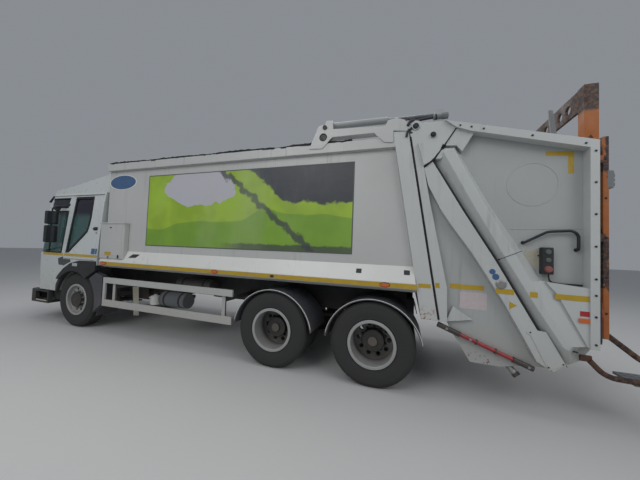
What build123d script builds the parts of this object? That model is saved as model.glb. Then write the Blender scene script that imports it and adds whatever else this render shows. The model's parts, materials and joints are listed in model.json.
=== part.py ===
from build123d import *
import math
import os

os.makedirs("parts", exist_ok=True)

# Rear-loading garbage truck with three axles. Millimetres, X forward, Y to the
# truck's left, Z up, the origin on the ground under the middle of the whole truck.

# Driving sizes of the whole truck
front_overhang = 1544
wheelbase = 4306
bogie_spread = 1390
hinge_setback = 1845
tail_depth = 1734
mast_gap = 56
footboard_reach = 765
rear_overhang = hinge_setback + tail_depth + mast_gap + footboard_reach
overall_length = front_overhang + wheelbase + rear_overhang
front_x = overall_length / 2
rear_x = -overall_length / 2
axle_1_x = front_x - front_overhang
axle_2_x = axle_1_x - wheelbase
axle_3_x = axle_2_x - bogie_spread

# Wheels and tyres
tyre_radius = 525
tyre_width = 280
bead_radius = 286
flange_radius = 300
rim_wall = 24
hand_hole_circle = 202
hand_hole_radius = 28
front_track_half = 1030
twin_outer_y = 1100
twin_pitch = 330
hub_radius = 140
spindle_radius = 60
spindle_gap = 1

# Ladder frame
rail_y = 340
rail_width = 80
rail_height = 270
rail_wall = 10
rail_top = tyre_radius + 475
low_rail_top = rail_top - 240
rail_rear_x = axle_2_x - 1900
low_rail_front_x = axle_1_x + 1150
rail_joint_x = axle_1_x - 950

# Body and load space
cab_rear_x = axle_1_x - 626
cab_gap = 100
body_front_x = cab_rear_x - cab_gap
body_half = 1150
body_top = 3080
body_floor = rail_top + 200
body_wall = 35
rail_lip = 55
rail_lip_height = 130
band_top = body_floor + 310
band_low = body_floor + 110
band_bottom = body_floor + 44
band_reach = 100
band_half = body_half + band_reach
running_gap = 6

# Tailgate hinge and the sloping joint between body and tailgate
hinge_x = axle_2_x - hinge_setback
hinge_z = body_top + 142
hinge_pin_radius = 45
seam_slope = 0.1648
seam_offset = 89
tail_gap = 7
tail_inset = 30
tail_half = body_half - tail_inset
tail_wall = 35
tail_strip = body_half + rail_lip
flange_proud = 120
tail_outer = tail_half + flange_proud
tail_rear_x = hinge_x - tail_depth
mouth_top = 2300
mouth_sill = 1250

# Cab
cab_wall = 50
cab_corner = 200
cab_bow = 60
arch_radius = tyre_radius + 85
flare_outer = 1245
flare_radius = tyre_radius + 30
deck_z = 1220
footwell_z = 780
footwell_x = axle_1_x + 700


def block(x_low, x_high, y_low, y_high, z_low, z_high, mode=Mode.ADD):
    """Box between two corners."""
    middle = ((x_low + x_high) / 2, (y_low + y_high) / 2, (z_low + z_high) / 2)
    with Locations(middle):
        Box(x_high - x_low, y_high - y_low, z_high - z_low, mode=mode)


def side_panel(points, y_low, y_high, mode=Mode.ADD):
    """Panel with an outline seen from the side, its points as (x, z)."""
    with BuildSketch(Plane.XZ.offset(-y_high)) as outline:
        with BuildLine():
            Polyline(*points, close=True)
        make_face()
    extrude(outline.sketch, amount=y_high - y_low, mode=mode)


def cross_bar(x, z, radius, y_low, y_high, mode=Mode.ADD):
    """Round bar or hole across the truck."""
    with BuildSketch(Plane.XZ.offset(-y_high)) as outline:
        with Locations((x, z)):
            Circle(radius)
    extrude(outline.sketch, amount=y_high - y_low, mode=mode)


def pipe(points, radius, bend):
    """Bent tube through the points, as a solid bar with eight flats."""
    with BuildLine() as route:
        FilletPolyline(*points, radius=bend)
    start = Plane(origin=route.line @ 0, z_dir=route.line % 0)
    with BuildSketch(start) as section:
        RegularPolygon(radius, 8)
    sweep(section.sketch, path=route.line)


def write(part, name):
    """Label a finished piece and write its file."""
    part.label = name
    export_step(part, "parts/" + name + ".step")


def seam_x(z, ahead=0):
    """Place of the leaning joint face at a height, or of a face parallel to it."""
    lean = math.hypot(1, seam_slope)
    return hinge_x + (seam_offset + ahead) * lean + (z - hinge_z) * seam_slope


def leaning_strip(ahead_low, ahead_high, z_low, z_high):
    """Outline of a strip parallel to the leaning joint, as (x, z) points."""
    return [(seam_x(z_low, ahead_low), z_low), (seam_x(z_low, ahead_high), z_low),
            (seam_x(z_high, ahead_high), z_high), (seam_x(z_high, ahead_low), z_high)]


# Ladder frame: two stepped channel rails with cross members between them
with BuildPart() as chassis_frame:
    for low, high, x_rear, x_front in (
        (rail_top - rail_height, rail_top, rail_rear_x, rail_joint_x + 350),
        (low_rail_top - rail_height, low_rail_top, rail_joint_x, low_rail_front_x),
    ):
        block(x_rear, x_front, rail_y, rail_y + rail_width, low, high)
        block(x_rear, x_front, rail_y, rail_y + rail_width - rail_wall,
              low + rail_wall, high - rail_wall, mode=Mode.SUBTRACT)
    block(rail_joint_x - 20, rail_joint_x + 370, rail_y + rail_width - rail_wall,
          rail_y + rail_width, low_rail_top - rail_height, rail_top)
    mirror(about=Plane.XZ)
    for x, z in (
        (rail_rear_x + 60, rail_top - 140),
        (axle_2_x - bogie_spread / 2, rail_top - 140),
        (axle_2_x + 900, rail_top - 140),
        (axle_2_x + 2200, rail_top - 140),
        (low_rail_front_x - 60, low_rail_top - 140),
    ):
        block(x - 40, x + 40, -rail_y - rail_width + rail_wall,
              rail_y + rail_width - rail_wall, z - 80, z + 80)
    block(axle_2_x - 1800, body_front_x - 100, rail_y, rail_y + rail_width, rail_top, body_floor)
    block(axle_2_x - 1800, body_front_x - 100, -rail_y - rail_width, -rail_y, rail_top, body_floor)
write(chassis_frame.part, "chassis_frame")

# Axles: a forged front beam with leaf springs, and two drive axles with bowls
beam_z = tyre_radius - 135
beam_half_height = 42
kingpin_y = 900
kingpin_radius = 20
with BuildPart() as front_axle:
    block(axle_1_x - 45, axle_1_x + 45, -kingpin_y, kingpin_y,
          beam_z - beam_half_height, beam_z + beam_half_height)
    with Locations((axle_1_x, -kingpin_y, beam_z), (axle_1_x, kingpin_y, beam_z)):
        Cylinder(46, 2 * beam_half_height)
        Cylinder(kingpin_radius + 1, 200, mode=Mode.SUBTRACT)
    for side in (-1, 1):
        y = side * (rail_y + rail_width / 2)
        spring_low = beam_z + beam_half_height
        block(axle_1_x - 700, axle_1_x + 700, y - 38, y + 38, spring_low, spring_low + 30)
        block(axle_1_x - 80, axle_1_x + 80, y - 38, y + 38, spring_low + 30,
              low_rail_top - rail_height)
write(front_axle.part, "front_axle")

with BuildPart() as rear_axles:
    for x in (axle_2_x, axle_3_x):
        cross_bar(x, tyre_radius, 75, -560, 560)
        cross_bar(x, tyre_radius, 215, -110, 110)
        cross_bar(x, tyre_radius, 160, -190, 190)
        for side in (-1, 1):
            y = side * (rail_y + rail_width / 2)
            block(x - 60, x + 60, y - 40, y + 40, tyre_radius, rail_top - rail_height)
        cross_bar(x, tyre_radius, spindle_radius, -twin_outer_y, twin_outer_y)
write(rear_axles.part, "rear_axles")

# Engine and gearbox as one plain mass between the front rails
with BuildPart() as engine_block:
    block(axle_1_x - 1000, axle_1_x + 350, -300, 300, low_rail_top - 180, deck_z - 60)
    block(axle_1_x - 1700, axle_1_x - 1000, -220, 220, low_rail_top - 150, low_rail_top + 240)
write(engine_block.part, "engine_block")

# Front bumper with step wells at its ends and lamp pockets in its face
bumper_low = 380
bumper_high = 630
bumper_rear_x = axle_1_x + 784
bumper_bow = 70
bumper_corner = 180
bumper_half = 1200
bumper_wall = 70
arm_high = bumper_low + 170
tow_recess = 30
tow_radius = 18
tow_length = 100
tow_half = 36
tow_z = 490


def bumper_outline(inset):
    """Bumper in plan, drawn in by an inset."""
    x = front_x - inset
    w = bumper_half - inset
    r = bumper_corner
    turn = r * math.sqrt(0.5)
    with BuildSketch(Plane.XY.offset(bumper_low)) as plan:
        with BuildLine():
            Polyline((x - bumper_bow - r, -w), (bumper_rear_x, -w), (bumper_rear_x, w),
                     (x - bumper_bow - r, w))
            ThreePointArc((x - bumper_bow - r, w),
                          (x - bumper_bow - r + turn, w - r + turn), (x - bumper_bow, w - r))
            ThreePointArc((x - bumper_bow, w - r), (x, 0), (x - bumper_bow, r - w))
            ThreePointArc((x - bumper_bow, r - w),
                          (x - bumper_bow - r + turn, r - w - turn), (x - bumper_bow - r, -w))
        make_face()
    return plan.sketch


with BuildPart() as front_bumper:
    extrude(bumper_outline(0), amount=bumper_high - bumper_low)
    extrude(bumper_outline(bumper_wall), amount=bumper_high - bumper_low, mode=Mode.SUBTRACT)
    block(bumper_rear_x - 1, bumper_rear_x + bumper_wall, -bumper_half + 300, bumper_half - 300,
          bumper_low, bumper_high, mode=Mode.SUBTRACT)
    for side in (-1, 1):
        inner = side * (bumper_half - 300)
        outer = side * (bumper_half - bumper_wall)
        block(bumper_rear_x, front_x - 330, min(inner, outer), max(inner, outer),
              bumper_low, bumper_low + 40)
        outer = side * bumper_half
        block(bumper_rear_x + 40, front_x - 330, min(inner, outer) - 1, max(inner, outer) + 1,
              bumper_low + 60, bumper_high - 30, mode=Mode.SUBTRACT)
        block(front_x - 260, front_x + 5, side * 900 - 160, side * 900 + 160,
              bumper_low + 70, bumper_low + 190, mode=Mode.SUBTRACT)
    for side in (-1, 1):
        y = side * (rail_y + rail_width / 2)
        block(low_rail_front_x, front_x - 170, y - 40, y + 40, bumper_low + 60, arm_high)
        block(front_x - 172, front_x - bumper_wall + 5, y - 60, y - tow_half - 2,
              bumper_low + 60, arm_high)
        block(front_x - 172, front_x - bumper_wall + 5, y + tow_half + 2, y + 60,
              bumper_low + 60, arm_high)
        block(front_x - 160, front_x + 5, y - tow_half, y + tow_half,
              tow_z - tow_half, tow_z + tow_half, mode=Mode.SUBTRACT)
write(front_bumper.part, "front_bumper")

# Tow sockets: bored blocks let into the bumper face on both arms
with BuildPart() as tow_sockets:
    for side in (-1, 1):
        y = side * (rail_y + rail_width / 2)
        block(front_x - 160, front_x - tow_recess, y - tow_half, y + tow_half,
              tow_z - tow_half, tow_z + tow_half)
        with Locations((front_x - tow_recess - tow_length / 2, y, tow_z)):
            Cylinder(tow_radius, tow_length, rotation=(0, 90, 0), mode=Mode.SUBTRACT)
write(tow_sockets.part, "tow_sockets")

with BuildPart() as headlamps:
    for side in (-1, 1):
        block(front_x - 230, front_x - 95, side * 900 - 158, side * 900 + 158,
              bumper_low + 72, bumper_low + 188)
write(headlamps.part, "headlamps")

# Wheel guards: quarter arch behind the front wheel and one arch over each rear wheel
guard_wall = 14
guard_drop = 45
rear_arch_radius = tyre_radius + 65
rear_arch_z = tyre_radius - guard_drop


def arch(x, z, radius, wall, y_low, y_high, start, sweep_deg):
    """Curved sheet around a point, from a start angle above the +X line."""
    with BuildSketch(Plane.XZ.offset(-y_high)) as outline:
        with BuildLine():
            outer = CenterArc((x, z), radius + wall, start, sweep_deg)
            inner = CenterArc((x, z), radius, start, sweep_deg)
            Line(outer @ 0, inner @ 0)
            Line(outer @ 1, inner @ 1)
        make_face()
    extrude(outline.sketch, amount=y_high - y_low)


with BuildPart() as mudguards:
    for x in (axle_2_x, axle_3_x):
        arch(x, rear_arch_z, rear_arch_radius, guard_wall, 620, band_half, 8, 164)
        block(x - 20, x + 20, rail_y + rail_width, 640, rear_arch_z + rear_arch_radius,
              rear_arch_z + rear_arch_radius + guard_wall)
    arch(axle_1_x, tyre_radius, arch_radius, guard_wall, 760, 1140, 136, 68)
    side_panel([(axle_1_x - 420, 962), (axle_1_x - 610, 1085), (axle_1_x - 795, 1040),
                (axle_1_x - 795, 520), (axle_1_x - 640, 400), (axle_1_x - 560, 330),
                (axle_1_x - 400, 500)], 1130, 1215)
    cross_bar(axle_1_x, tyre_radius, arch_radius, 1120, 1240, mode=Mode.SUBTRACT)
    block(axle_1_x - 640, axle_1_x - 560, rail_y + rail_width, 780,
          tyre_radius + 60, tyre_radius + 130)
    mirror(about=Plane.XZ)
write(mudguards.part, "mudguards")

# Side guards: two long rails and a front end piece on each side, hung on posts
guard_rear_x = axle_2_x + rear_arch_radius + guard_wall + 66
guard_front_x = body_front_x - 110
with BuildPart() as side_guards:
    for low, high in ((505, 620), (920, 1020)):
        block(guard_rear_x, guard_front_x, 1195, 1225, low, high)
    block(guard_front_x - 60, guard_front_x, 1195, 1225, 505, 1020)
    for x in (guard_rear_x + 170, guard_front_x - 250):
        block(x - 30, x + 30, 1165, 1195, 520, 1020)
        block(x - 25, x + 25, rail_y + rail_width, 1165, 830, 890)
    mirror(about=Plane.XZ)
write(side_guards.part, "side_guards")

# Tanks: round air tanks on the left, a square fuel tank on the right
with BuildPart() as tanks:
    for x, y, z, length, radius in (
        (axle_2_x + 1870, 820, 670, 560, 130),
        (axle_2_x + 1450, 700, 950, 750, 115),
    ):
        with BuildSketch(Plane.YZ.offset(x)) as end:
            with Locations((y, z)):
                Circle(radius)
        extrude(end.sketch, amount=length)
        middle = x + length / 2
        block(middle - 45, middle + 45, rail_y + rail_width, y - 60, z - 30, z + 30)
    block(axle_2_x + 1300, axle_2_x + 2500, -1120, -560, 480, 1050)
    block(axle_2_x + 1500, axle_2_x + 1600, -560, -rail_y - rail_width, 780, 900)
    block(axle_2_x + 2200, axle_2_x + 2300, -560, -rail_y - rail_width, 780, 900)
write(tanks.part, "tanks")

# Body: hollow load space open at the back, with a flared band along its foot
post_depth = 180
with BuildPart() as body_shell:
    with BuildSketch(Plane.YZ.offset(rail_rear_x - 600)) as body_outline:
        with BuildLine():
            Polyline((-body_half, body_top), (-body_half, band_top), (-band_half, band_low),
                     (-band_half, band_bottom), (-body_half, body_floor),
                     (body_half, body_floor), (band_half, band_bottom),
                     (band_half, band_low), (body_half, band_top), (body_half, body_top),
                     close=True)
        make_face()
    extrude(body_outline.sketch, amount=body_front_x - rail_rear_x + 600)
    block(rail_rear_x - 700, body_front_x - body_wall, body_wall - body_half,
          body_half - body_wall, body_floor + 50, body_top - body_wall, mode=Mode.SUBTRACT)
    for y in (-body_half - rail_lip, body_half):
        block(rail_rear_x - 600, body_front_x, y, y + rail_lip,
              body_top + 40 - rail_lip_height, body_top + 40)
    side_panel(leaning_strip(-3000, post_depth, 0, 5000), -2000, 2000, mode=Mode.SUBTRACT)
write(body_shell.part, "body_shell")

# Rear frame of the body: two leaning posts, a sill, a top beam and two hinge ears
post_inner = body_half - body_wall
post_half = body_half + rail_lip
frame_foot = 905
frame_head = body_top + 105
ear_inset = 130
ear_y = body_half - ear_inset
ear_wall = 45
ear_radius = 78
with BuildPart() as rear_frame:
    side_panel(leaning_strip(0, post_depth, frame_foot, frame_head), post_inner, post_half)
    side_panel(leaning_strip(0, post_depth, frame_foot, body_floor + 50), 0, post_inner)
    side_panel(leaning_strip(40, post_depth, body_top - body_wall, frame_head), 0, post_inner)
    cross_bar(hinge_x, hinge_z, ear_radius, ear_y, ear_y + ear_wall)
    side_panel([(hinge_x, hinge_z + ear_radius), (hinge_x, hinge_z - ear_radius),
                (seam_x(body_top - 20, 60), body_top - 20), (seam_x(frame_head, 60), frame_head),
                (seam_x(frame_head, 60) - 60, hinge_z + ear_radius)], ear_y, ear_y + ear_wall)
    cross_bar(hinge_x, hinge_z, hinge_pin_radius + 1, ear_y - 1, ear_y + ear_wall + 1,
              mode=Mode.SUBTRACT)
    mirror(about=Plane.XZ)
write(rear_frame.part, "rear_frame")

# Arms over the roof that carry the rams which lift the tailgate
arm_inset = 2
arm_width = 100
arm_y = body_half - arm_inset - arm_width
ram_radius = 45
ram_gap = 18
ram_y = arm_y - ram_gap - ram_radius
ram_pin_x = hinge_x + 1145
ram_pin_z = body_top + 379
ram_eye_x = hinge_x - 275
ram_eye_z = hinge_z + 218
arm_under = body_top + 129
arm_skin = post_half + 2
arm_outer = arm_skin + 10
arm_base = frame_head + 7
rod_radius = 28


def above_hinge(points):
    """Points (x, z) of a roof arm from (distance ahead of the hinge, height over it)."""
    return [(hinge_x + x, hinge_z + rise) for x, rise in points]


# Upper edge of a roof arm from front to back, and the hump over the rear post
arm_crest = ((1259, 136), (1204, 152), (1133, 121), (1121, 82), (363, 43))
arm_hump = ((332, 113), (227, 131), (129, 95), (104, 50))
with BuildPart() as roof_arms:
    side_panel([(hinge_x + 1382, body_top)] + above_hinge(arm_crest)
               + [(hinge_x + 275, hinge_z + 40), (hinge_x + 275, frame_head - 5),
                  (hinge_x + 255, body_top), (hinge_x + 345, body_top),
                  (hinge_x + 446, arm_under), (hinge_x + 1065, arm_under),
                  (hinge_x + 1155, body_top)], arm_y, arm_y + arm_width)
    side_panel([(hinge_x + 1316, arm_base)] + above_hinge(arm_crest + arm_hump)
               + [(hinge_x + 100, arm_base)], body_half - 50, arm_skin)
    side_panel(above_hinge(((1382, -165),) + arm_crest + arm_hump
                           + ((100, -48), (262, -25), (262, -175), (371, -161), (503, -29),
                              (1059, -29), (1191, -173))), arm_skin, arm_outer)
    cross_bar(hinge_x + 1185, hinge_z - 20, 42, arm_y - 1, arm_outer + 1, mode=Mode.SUBTRACT)
    side_panel([(ram_pin_x - 60, hinge_z + 78), (ram_pin_x + 120, hinge_z + 78),
                (ram_pin_x + 45, ram_pin_z + 40),
                (ram_pin_x - 45, ram_pin_z + 40)], arm_y, arm_y + 30)
    cross_bar(ram_pin_x, ram_pin_z, 24, ram_y - 40, arm_y + 1)
    mirror(about=Plane.XZ)
write(roof_arms.part, "roof_arms")

# Locker on the front left corner of the body
locker_length = 610
locker_front_x = body_front_x + 20
locker_rear_x = locker_front_x - locker_length
locker_low = band_low + 50
locker_high = locker_low + 650
with BuildPart() as locker_box:
    block(locker_rear_x, locker_front_x, body_half, band_half - 12, locker_low, locker_high)
    block(locker_rear_x + 15, locker_front_x - 15, band_half - 12, band_half,
          locker_low + 15, locker_high - 15)
    add(body_shell.part, mode=Mode.SUBTRACT)
write(locker_box.part, "locker_box")

# Pushing panel inside the body, which empties the load out of the back
ejector_front_x = body_front_x - body_wall - 120
ejector_knee = body_floor + 300
ejector_half = post_inner - 25
with BuildPart() as ejector_panel:
    side_panel([(ejector_front_x, body_floor + 75), (ejector_front_x, ejector_knee),
                (ejector_front_x - 180, body_top - 75), (ejector_front_x - 240, body_top - 75),
                (ejector_front_x - 480, body_floor + 75)], -ejector_half, ejector_half)
    side_panel([(ejector_front_x + 1, body_floor + 110), (ejector_front_x + 1, ejector_knee - 20),
                (ejector_front_x - 200, body_top - 130), (ejector_front_x - 430, body_floor + 110)],
               40 - ejector_half, ejector_half - 40, mode=Mode.SUBTRACT)
write(ejector_panel.part, "ejector_panel")

# Cab: walls lofted through four plan sections, each drawn in by an inset
cab_sections = (
    # height, front face ahead of the front axle, half width
    (650, 1340, 1190),
    (1360, 1285, 1230),
    (2400, 1220, 1165),
    (2620, 1120, 1130),
)
cab_ceiling = 2585
visor_edge = (1382, 2490)
visor_root = (1218, 2627)


def cab_form(inset, z_low, z_high):
    """Cab body between two heights, drawn in by an inset."""
    with BuildPart() as form:
        for z, ahead, half in cab_sections:
            nose = axle_1_x + ahead - inset
            back = cab_rear_x + inset
            w = half - inset
            r = cab_corner - inset
            shoulder = nose - cab_bow
            turn = r * math.sqrt(0.5)
            with BuildSketch(Plane.XY.offset(z)):
                with BuildLine():
                    Polyline((shoulder - r, -w), (back, -w), (back, w), (shoulder - r, w))
                    ThreePointArc((shoulder - r, w), (shoulder - r + turn, w - r + turn),
                                  (shoulder, w - r))
                    ThreePointArc((shoulder, w - r), (nose, 0), (shoulder, r - w))
                    ThreePointArc((shoulder, r - w), (shoulder - r + turn, r - w - turn),
                                  (shoulder - r, -w))
                make_face()
        loft(ruled=True)
        block(cab_rear_x - 100, front_x + 100, -2000, 2000, z_low, z_high, mode=Mode.INTERSECT)
    return form.part


cab_outside = cab_form(0, 650, 2620)
cab_room = cab_form(cab_wall, footwell_z + 40, cab_ceiling)
glass_outside = cab_form(15, 650, 2620)
glass_inside = cab_form(23, 600, 2700)

# Outlines in the cab side, as (x ahead of the front axle, z)
door_ahead = ((345, 1305), (258, 2568), (-556, 2568), (-556, 1305))
door_window_ahead = ((295, 1422), (214, 2538), (-315, 2538), (-332, 2390), (-328, 2130),
                     (-311, 1984), (-272, 1840), (-119, 1704), (90, 1530), (192, 1435))
screen_ahead = ((425, 1412), (2000, 1412), (2000, 2264), (378, 2264))
top_light_ahead = ((412, 2316), (926, 2316), (945, 2528), (396, 2528))
flare_ahead = ((575, 640), (575, 780), (470, 960), (310, 1110), (100, 1230), (-150, 1288),
               (-615, 1296), (-615, 1125), (-390, 990), (0, 700), (500, 640))
roof_ahead = ((-600, 2590), (-600, 2965), (-575, 2985), (23, 2878), (561, 2780), (1040, 2712),
              (1085, 2655), (1070, 2590))
roof_half = 1060


def ahead_of_axle(points):
    """Outline moved to its place ahead of the front axle."""
    return [(axle_1_x + x, z) for x, z in points]


def shrink(points, gap):
    """Outline with each point drawn towards the middle by a gap along X and Z."""
    mid_x = sum(x for x, z in points) / len(points)
    mid_z = sum(z for x, z in points) / len(points)
    return [(x - math.copysign(gap, x - mid_x), z - math.copysign(gap, z - mid_z))
            for x, z in points]


# Black flares around the front arches, fixed to the cab
with BuildPart() as arch_flares:
    side_panel(ahead_of_axle(flare_ahead), 1150, flare_outer)
    cross_bar(axle_1_x, tyre_radius, flare_radius, 1100, 1300, mode=Mode.SUBTRACT)
    block(axle_1_x, axle_1_x + arch_radius, 1205, 1300, 600, 900, mode=Mode.SUBTRACT)
    mirror(about=Plane.XZ)
write(arch_flares.part, "arch_flares")

with BuildPart() as cab_hollow:
    add(cab_room)
    block(cab_rear_x, footwell_x + 30, -2000, 2000, 0, deck_z + 40, mode=Mode.SUBTRACT)

with BuildPart() as cab_shell:
    add(cab_outside)
    add(cab_hollow.part, mode=Mode.SUBTRACT)
    block(footwell_x - 60, axle_1_x + cab_sections[1][1], -1090, 1090, 0, footwell_z,
          mode=Mode.SUBTRACT)
    cross_bar(axle_1_x, tyre_radius, arch_radius, -2000, 2000, mode=Mode.SUBTRACT)
    add(arch_flares.part, mode=Mode.SUBTRACT)
    block(cab_rear_x - 1, axle_1_x, -2000, 2000, 0, deck_z, mode=Mode.SUBTRACT)
    block(axle_1_x - 1, footwell_x, -620, 620, 0, deck_z, mode=Mode.SUBTRACT)
    for side in (-1, 1):
        low, high = sorted((side * 800, side * 1600))
        side_panel(ahead_of_axle(door_ahead), low, high, mode=Mode.SUBTRACT)
    side_panel(ahead_of_axle(screen_ahead), -1500, 1500, mode=Mode.SUBTRACT)
    side_panel(ahead_of_axle(top_light_ahead), -1500, 1500, mode=Mode.SUBTRACT)
    side_panel(ahead_of_axle(roof_ahead), -roof_half, roof_half)
write(cab_shell.part, "cab_shell")

# Glass set into the cab walls: the screen, and a top light over each front corner
with BuildPart() as cab_glass:
    for pane in (screen_ahead, top_light_ahead):
        side_panel(shrink(ahead_of_axle(pane), 2), -1500, 1500)
    add(glass_outside, mode=Mode.INTERSECT)
    add(glass_inside, mode=Mode.SUBTRACT)
write(cab_glass.part, "cab_glass")

# Doors: the cab wall inside the door opening, with a window hole and its glass
for side, word in ((1, "left"), (-1, "right")):
    low, high = sorted((side * 900, side * 1500))
    with BuildPart() as door:
        add(cab_outside)
        add(cab_room, mode=Mode.SUBTRACT)
        side_panel(shrink(ahead_of_axle(door_ahead), running_gap), low, high,
                   mode=Mode.INTERSECT)
        side_panel(ahead_of_axle(door_window_ahead), low, high, mode=Mode.SUBTRACT)
    write(door.part, "door_" + word)
    with BuildPart() as door_glass:
        add(glass_outside)
        add(glass_inside, mode=Mode.SUBTRACT)
        side_panel(shrink(ahead_of_axle(door_window_ahead), 1), low, high,
                   mode=Mode.INTERSECT)
    write(door_glass.part, "door_glass_" + word)

# Seats and dashboard
with BuildPart() as seats:
    for y in (-780, -20, 700):
        x = axle_1_x - 215
        block(x - 250, x + 250, y - 230, y + 230, deck_z + 45, deck_z + 330)
        side_panel([(x - 250, deck_z + 330), (x - 130, deck_z + 330), (x - 230, deck_z + 1000),
                    (x - 330, deck_z + 1000)], y - 220, y + 220)
        block(x - 330, x - 250, y - 130, y + 130, deck_z + 1000, deck_z + 1180)
write(seats.part, "seats")

dash_rear_x = axle_1_x + 800
with BuildPart() as dashboard:
    side_panel([(dash_rear_x, 1000), (dash_rear_x - 60, 1330), (dash_rear_x + 120, 1410),
                (dash_rear_x + 345, 1370), (dash_rear_x + 355, 1000)], -990, 990)
write(dashboard.part, "dashboard")

with BuildPart() as steering_wheel:
    tilted = Plane(origin=(dash_rear_x - 150, -780, 1560), x_dir=(0, 1, 0), z_dir=(-0.45, 0, 0.9))
    with Locations(tilted):
        Cylinder(236, 28)
        Cylinder(206, 30, mode=Mode.SUBTRACT)
        Cylinder(60, 30)
        Box(430, 30, 14)
    with Locations(Plane(origin=tilted.origin, x_dir=(0, 1, 0), z_dir=(0.45, 0, -0.9))):
        Cylinder(24, 230, align=(Align.CENTER, Align.CENTER, Align.MIN))
write(steering_wheel.part, "steering_wheel")

# Sun visor over the screen, and mirrors on arms at both front corners
with BuildPart() as sun_visor:
    side_panel(ahead_of_axle((visor_edge, visor_root, (visor_root[0] - 13, visor_root[1] - 12),
                              (visor_edge[0] - 10, visor_edge[1] - 10))), -1020, 1020)
    for y in (-900, 0, 900):
        block(axle_1_x + 900, axle_1_x + 1265, y - 10, y + 10, 2560, 2580)
    add(cab_outside, mode=Mode.SUBTRACT)
write(sun_visor.part, "sun_visor")

mirror_x = axle_1_x + 600
mirror_y = 1325
with BuildPart() as mirrors:
    for low, high in ((1615, 1950), (1975, 2235)):
        block(mirror_x - 45, mirror_x + 45, mirror_y - 100, mirror_y + 100, low, high)
    pipe([(mirror_x - 220, 1100, 2380), (mirror_x, mirror_y, 2320), (mirror_x, mirror_y, 1560),
          (mirror_x + 380, 1140, 1400)], 14, 40)
    add(cab_outside, mode=Mode.SUBTRACT)
    mirror(about=Plane.XZ)
write(mirrors.part, "mirrors")

# Wheels, made about the Y axis at the origin and moved to their axles
def tyre(y):
    """One tyre centred at a place along the axle."""
    half = tyre_width / 2
    bulge_low = tyre_radius - 135
    bulge_high = tyre_radius - 55
    with BuildPart() as ring:
        with BuildSketch(Plane.XY) as section:
            with BuildLine():
                Polyline((bead_radius, y - 0.8 * half), (bulge_low, y - half),
                         (bulge_high, y - half), (tyre_radius, y - 0.76 * half),
                         (tyre_radius, y + 0.76 * half), (bulge_high, y + half),
                         (bulge_low, y + half), (bead_radius, y + 0.8 * half), close=True)
            make_face()
        revolve(axis=Axis.Y)
    return ring.part


def ring(r_low, r_high, y_low, y_high):
    """Ring about the Y axis between two radii."""
    low, high = sorted((y_low, y_high))
    with BuildSketch(Plane.XY) as section:
        with Locations(((r_low + r_high) / 2, (low + high) / 2)):
            Rectangle(r_high - r_low, high - low)
    revolve(section.sketch, axis=Axis.Y)


def rim(y, disc_y, hub_y):
    """One steel rim: a barrel, a disc with hand holes and a hub facing +Y."""
    half = tyre_width * 0.43
    bore = spindle_radius + spindle_gap
    well = bead_radius - rim_wall
    with BuildPart() as wheel:
        with BuildSketch(Plane.XY):
            with BuildLine():
                Polyline((flange_radius, y - half - 12), (flange_radius, y - half),
                         (bead_radius, y - half), (bead_radius, y + half),
                         (flange_radius, y + half), (flange_radius, y + half + 12),
                         (well, y + half + 12), (well, y - half - 12), close=True)
            make_face()
        revolve(axis=Axis.Y)
        ring(bore, well, disc_y - 12, disc_y + 12)
        ring(well, bead_radius - 4, disc_y, y + math.copysign(half, disc_y - y))
        ring(bore, hub_radius, disc_y, hub_y)
        with BuildSketch(Plane.XZ.offset(-disc_y - 20)) as holes:
            with PolarLocations(hand_hole_circle, 10):
                Circle(hand_hole_radius)
        extrude(holes.sketch, amount=40, mode=Mode.SUBTRACT)
    return wheel.part


wheel_places = (
    # name, axle, twin wheels or not
    ("front", axle_1_x, False),
    ("middle", axle_2_x, True),
    ("rear", axle_3_x, True),
)
for name, x, twin in wheel_places:
    for side, word in ((1, "left"), (-1, "right")):
        outer = twin_outer_y if twin else front_track_half
        rows = [(outer, outer - twin_pitch / 2 + 13, outer - 40)] if twin else [
            (outer, outer + 60, outer + 130)]
        if twin:
            rows.append((outer - twin_pitch, outer - twin_pitch / 2 - 13,
                         outer - twin_pitch / 2 - 25))
        with BuildPart() as tyres:
            for y, disc_y, hub_y in rows:
                add(tyre(y).moved(Location((x, 0, tyre_radius))))
            if side < 0:
                mirror(about=Plane.XZ, mode=Mode.REPLACE)
        write(tyres.part, name + ("_tyres_" if twin else "_tyre_") + word)
        with BuildPart() as rims:
            for y, disc_y, hub_y in rows:
                add(rim(y, disc_y, hub_y).moved(Location((x, 0, tyre_radius))))
            if side < 0:
                mirror(about=Plane.XZ, mode=Mode.REPLACE)
        write(rims.part, name + ("_rims_" if twin else "_rim_") + word)

# Steering knuckles: a fork over the beam's eye, its kingpin, and the wheel's spindle
fork_gap = 10
fork_low = beam_z - beam_half_height - fork_gap
fork_high = beam_z + beam_half_height + fork_gap
for side, word in ((1, "left"), (-1, "right")):
    with BuildPart() as knuckle:
        block(axle_1_x - 60, axle_1_x + 60, kingpin_y - 45, kingpin_y + 75,
              fork_high, tyre_radius + 90)
        block(axle_1_x - 60, axle_1_x + 60, kingpin_y - 45, kingpin_y + 75,
              fork_low - 40, fork_low)
        block(axle_1_x - 60, axle_1_x + 60, kingpin_y + 52, kingpin_y + 75,
              fork_low, fork_high)
        with Locations((axle_1_x, kingpin_y, beam_z)):
            Cylinder(kingpin_radius, fork_high - fork_low + 10)
        cross_bar(axle_1_x, tyre_radius, spindle_radius, kingpin_y, front_track_half + 120)
        block(axle_1_x - 300, axle_1_x - 60, kingpin_y - 60, kingpin_y - 30,
              fork_high + 10, fork_high + 50)
        if side < 0:
            mirror(about=Plane.XZ, mode=Mode.REPLACE)
    write(knuckle.part, "knuckle_" + word)

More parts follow.
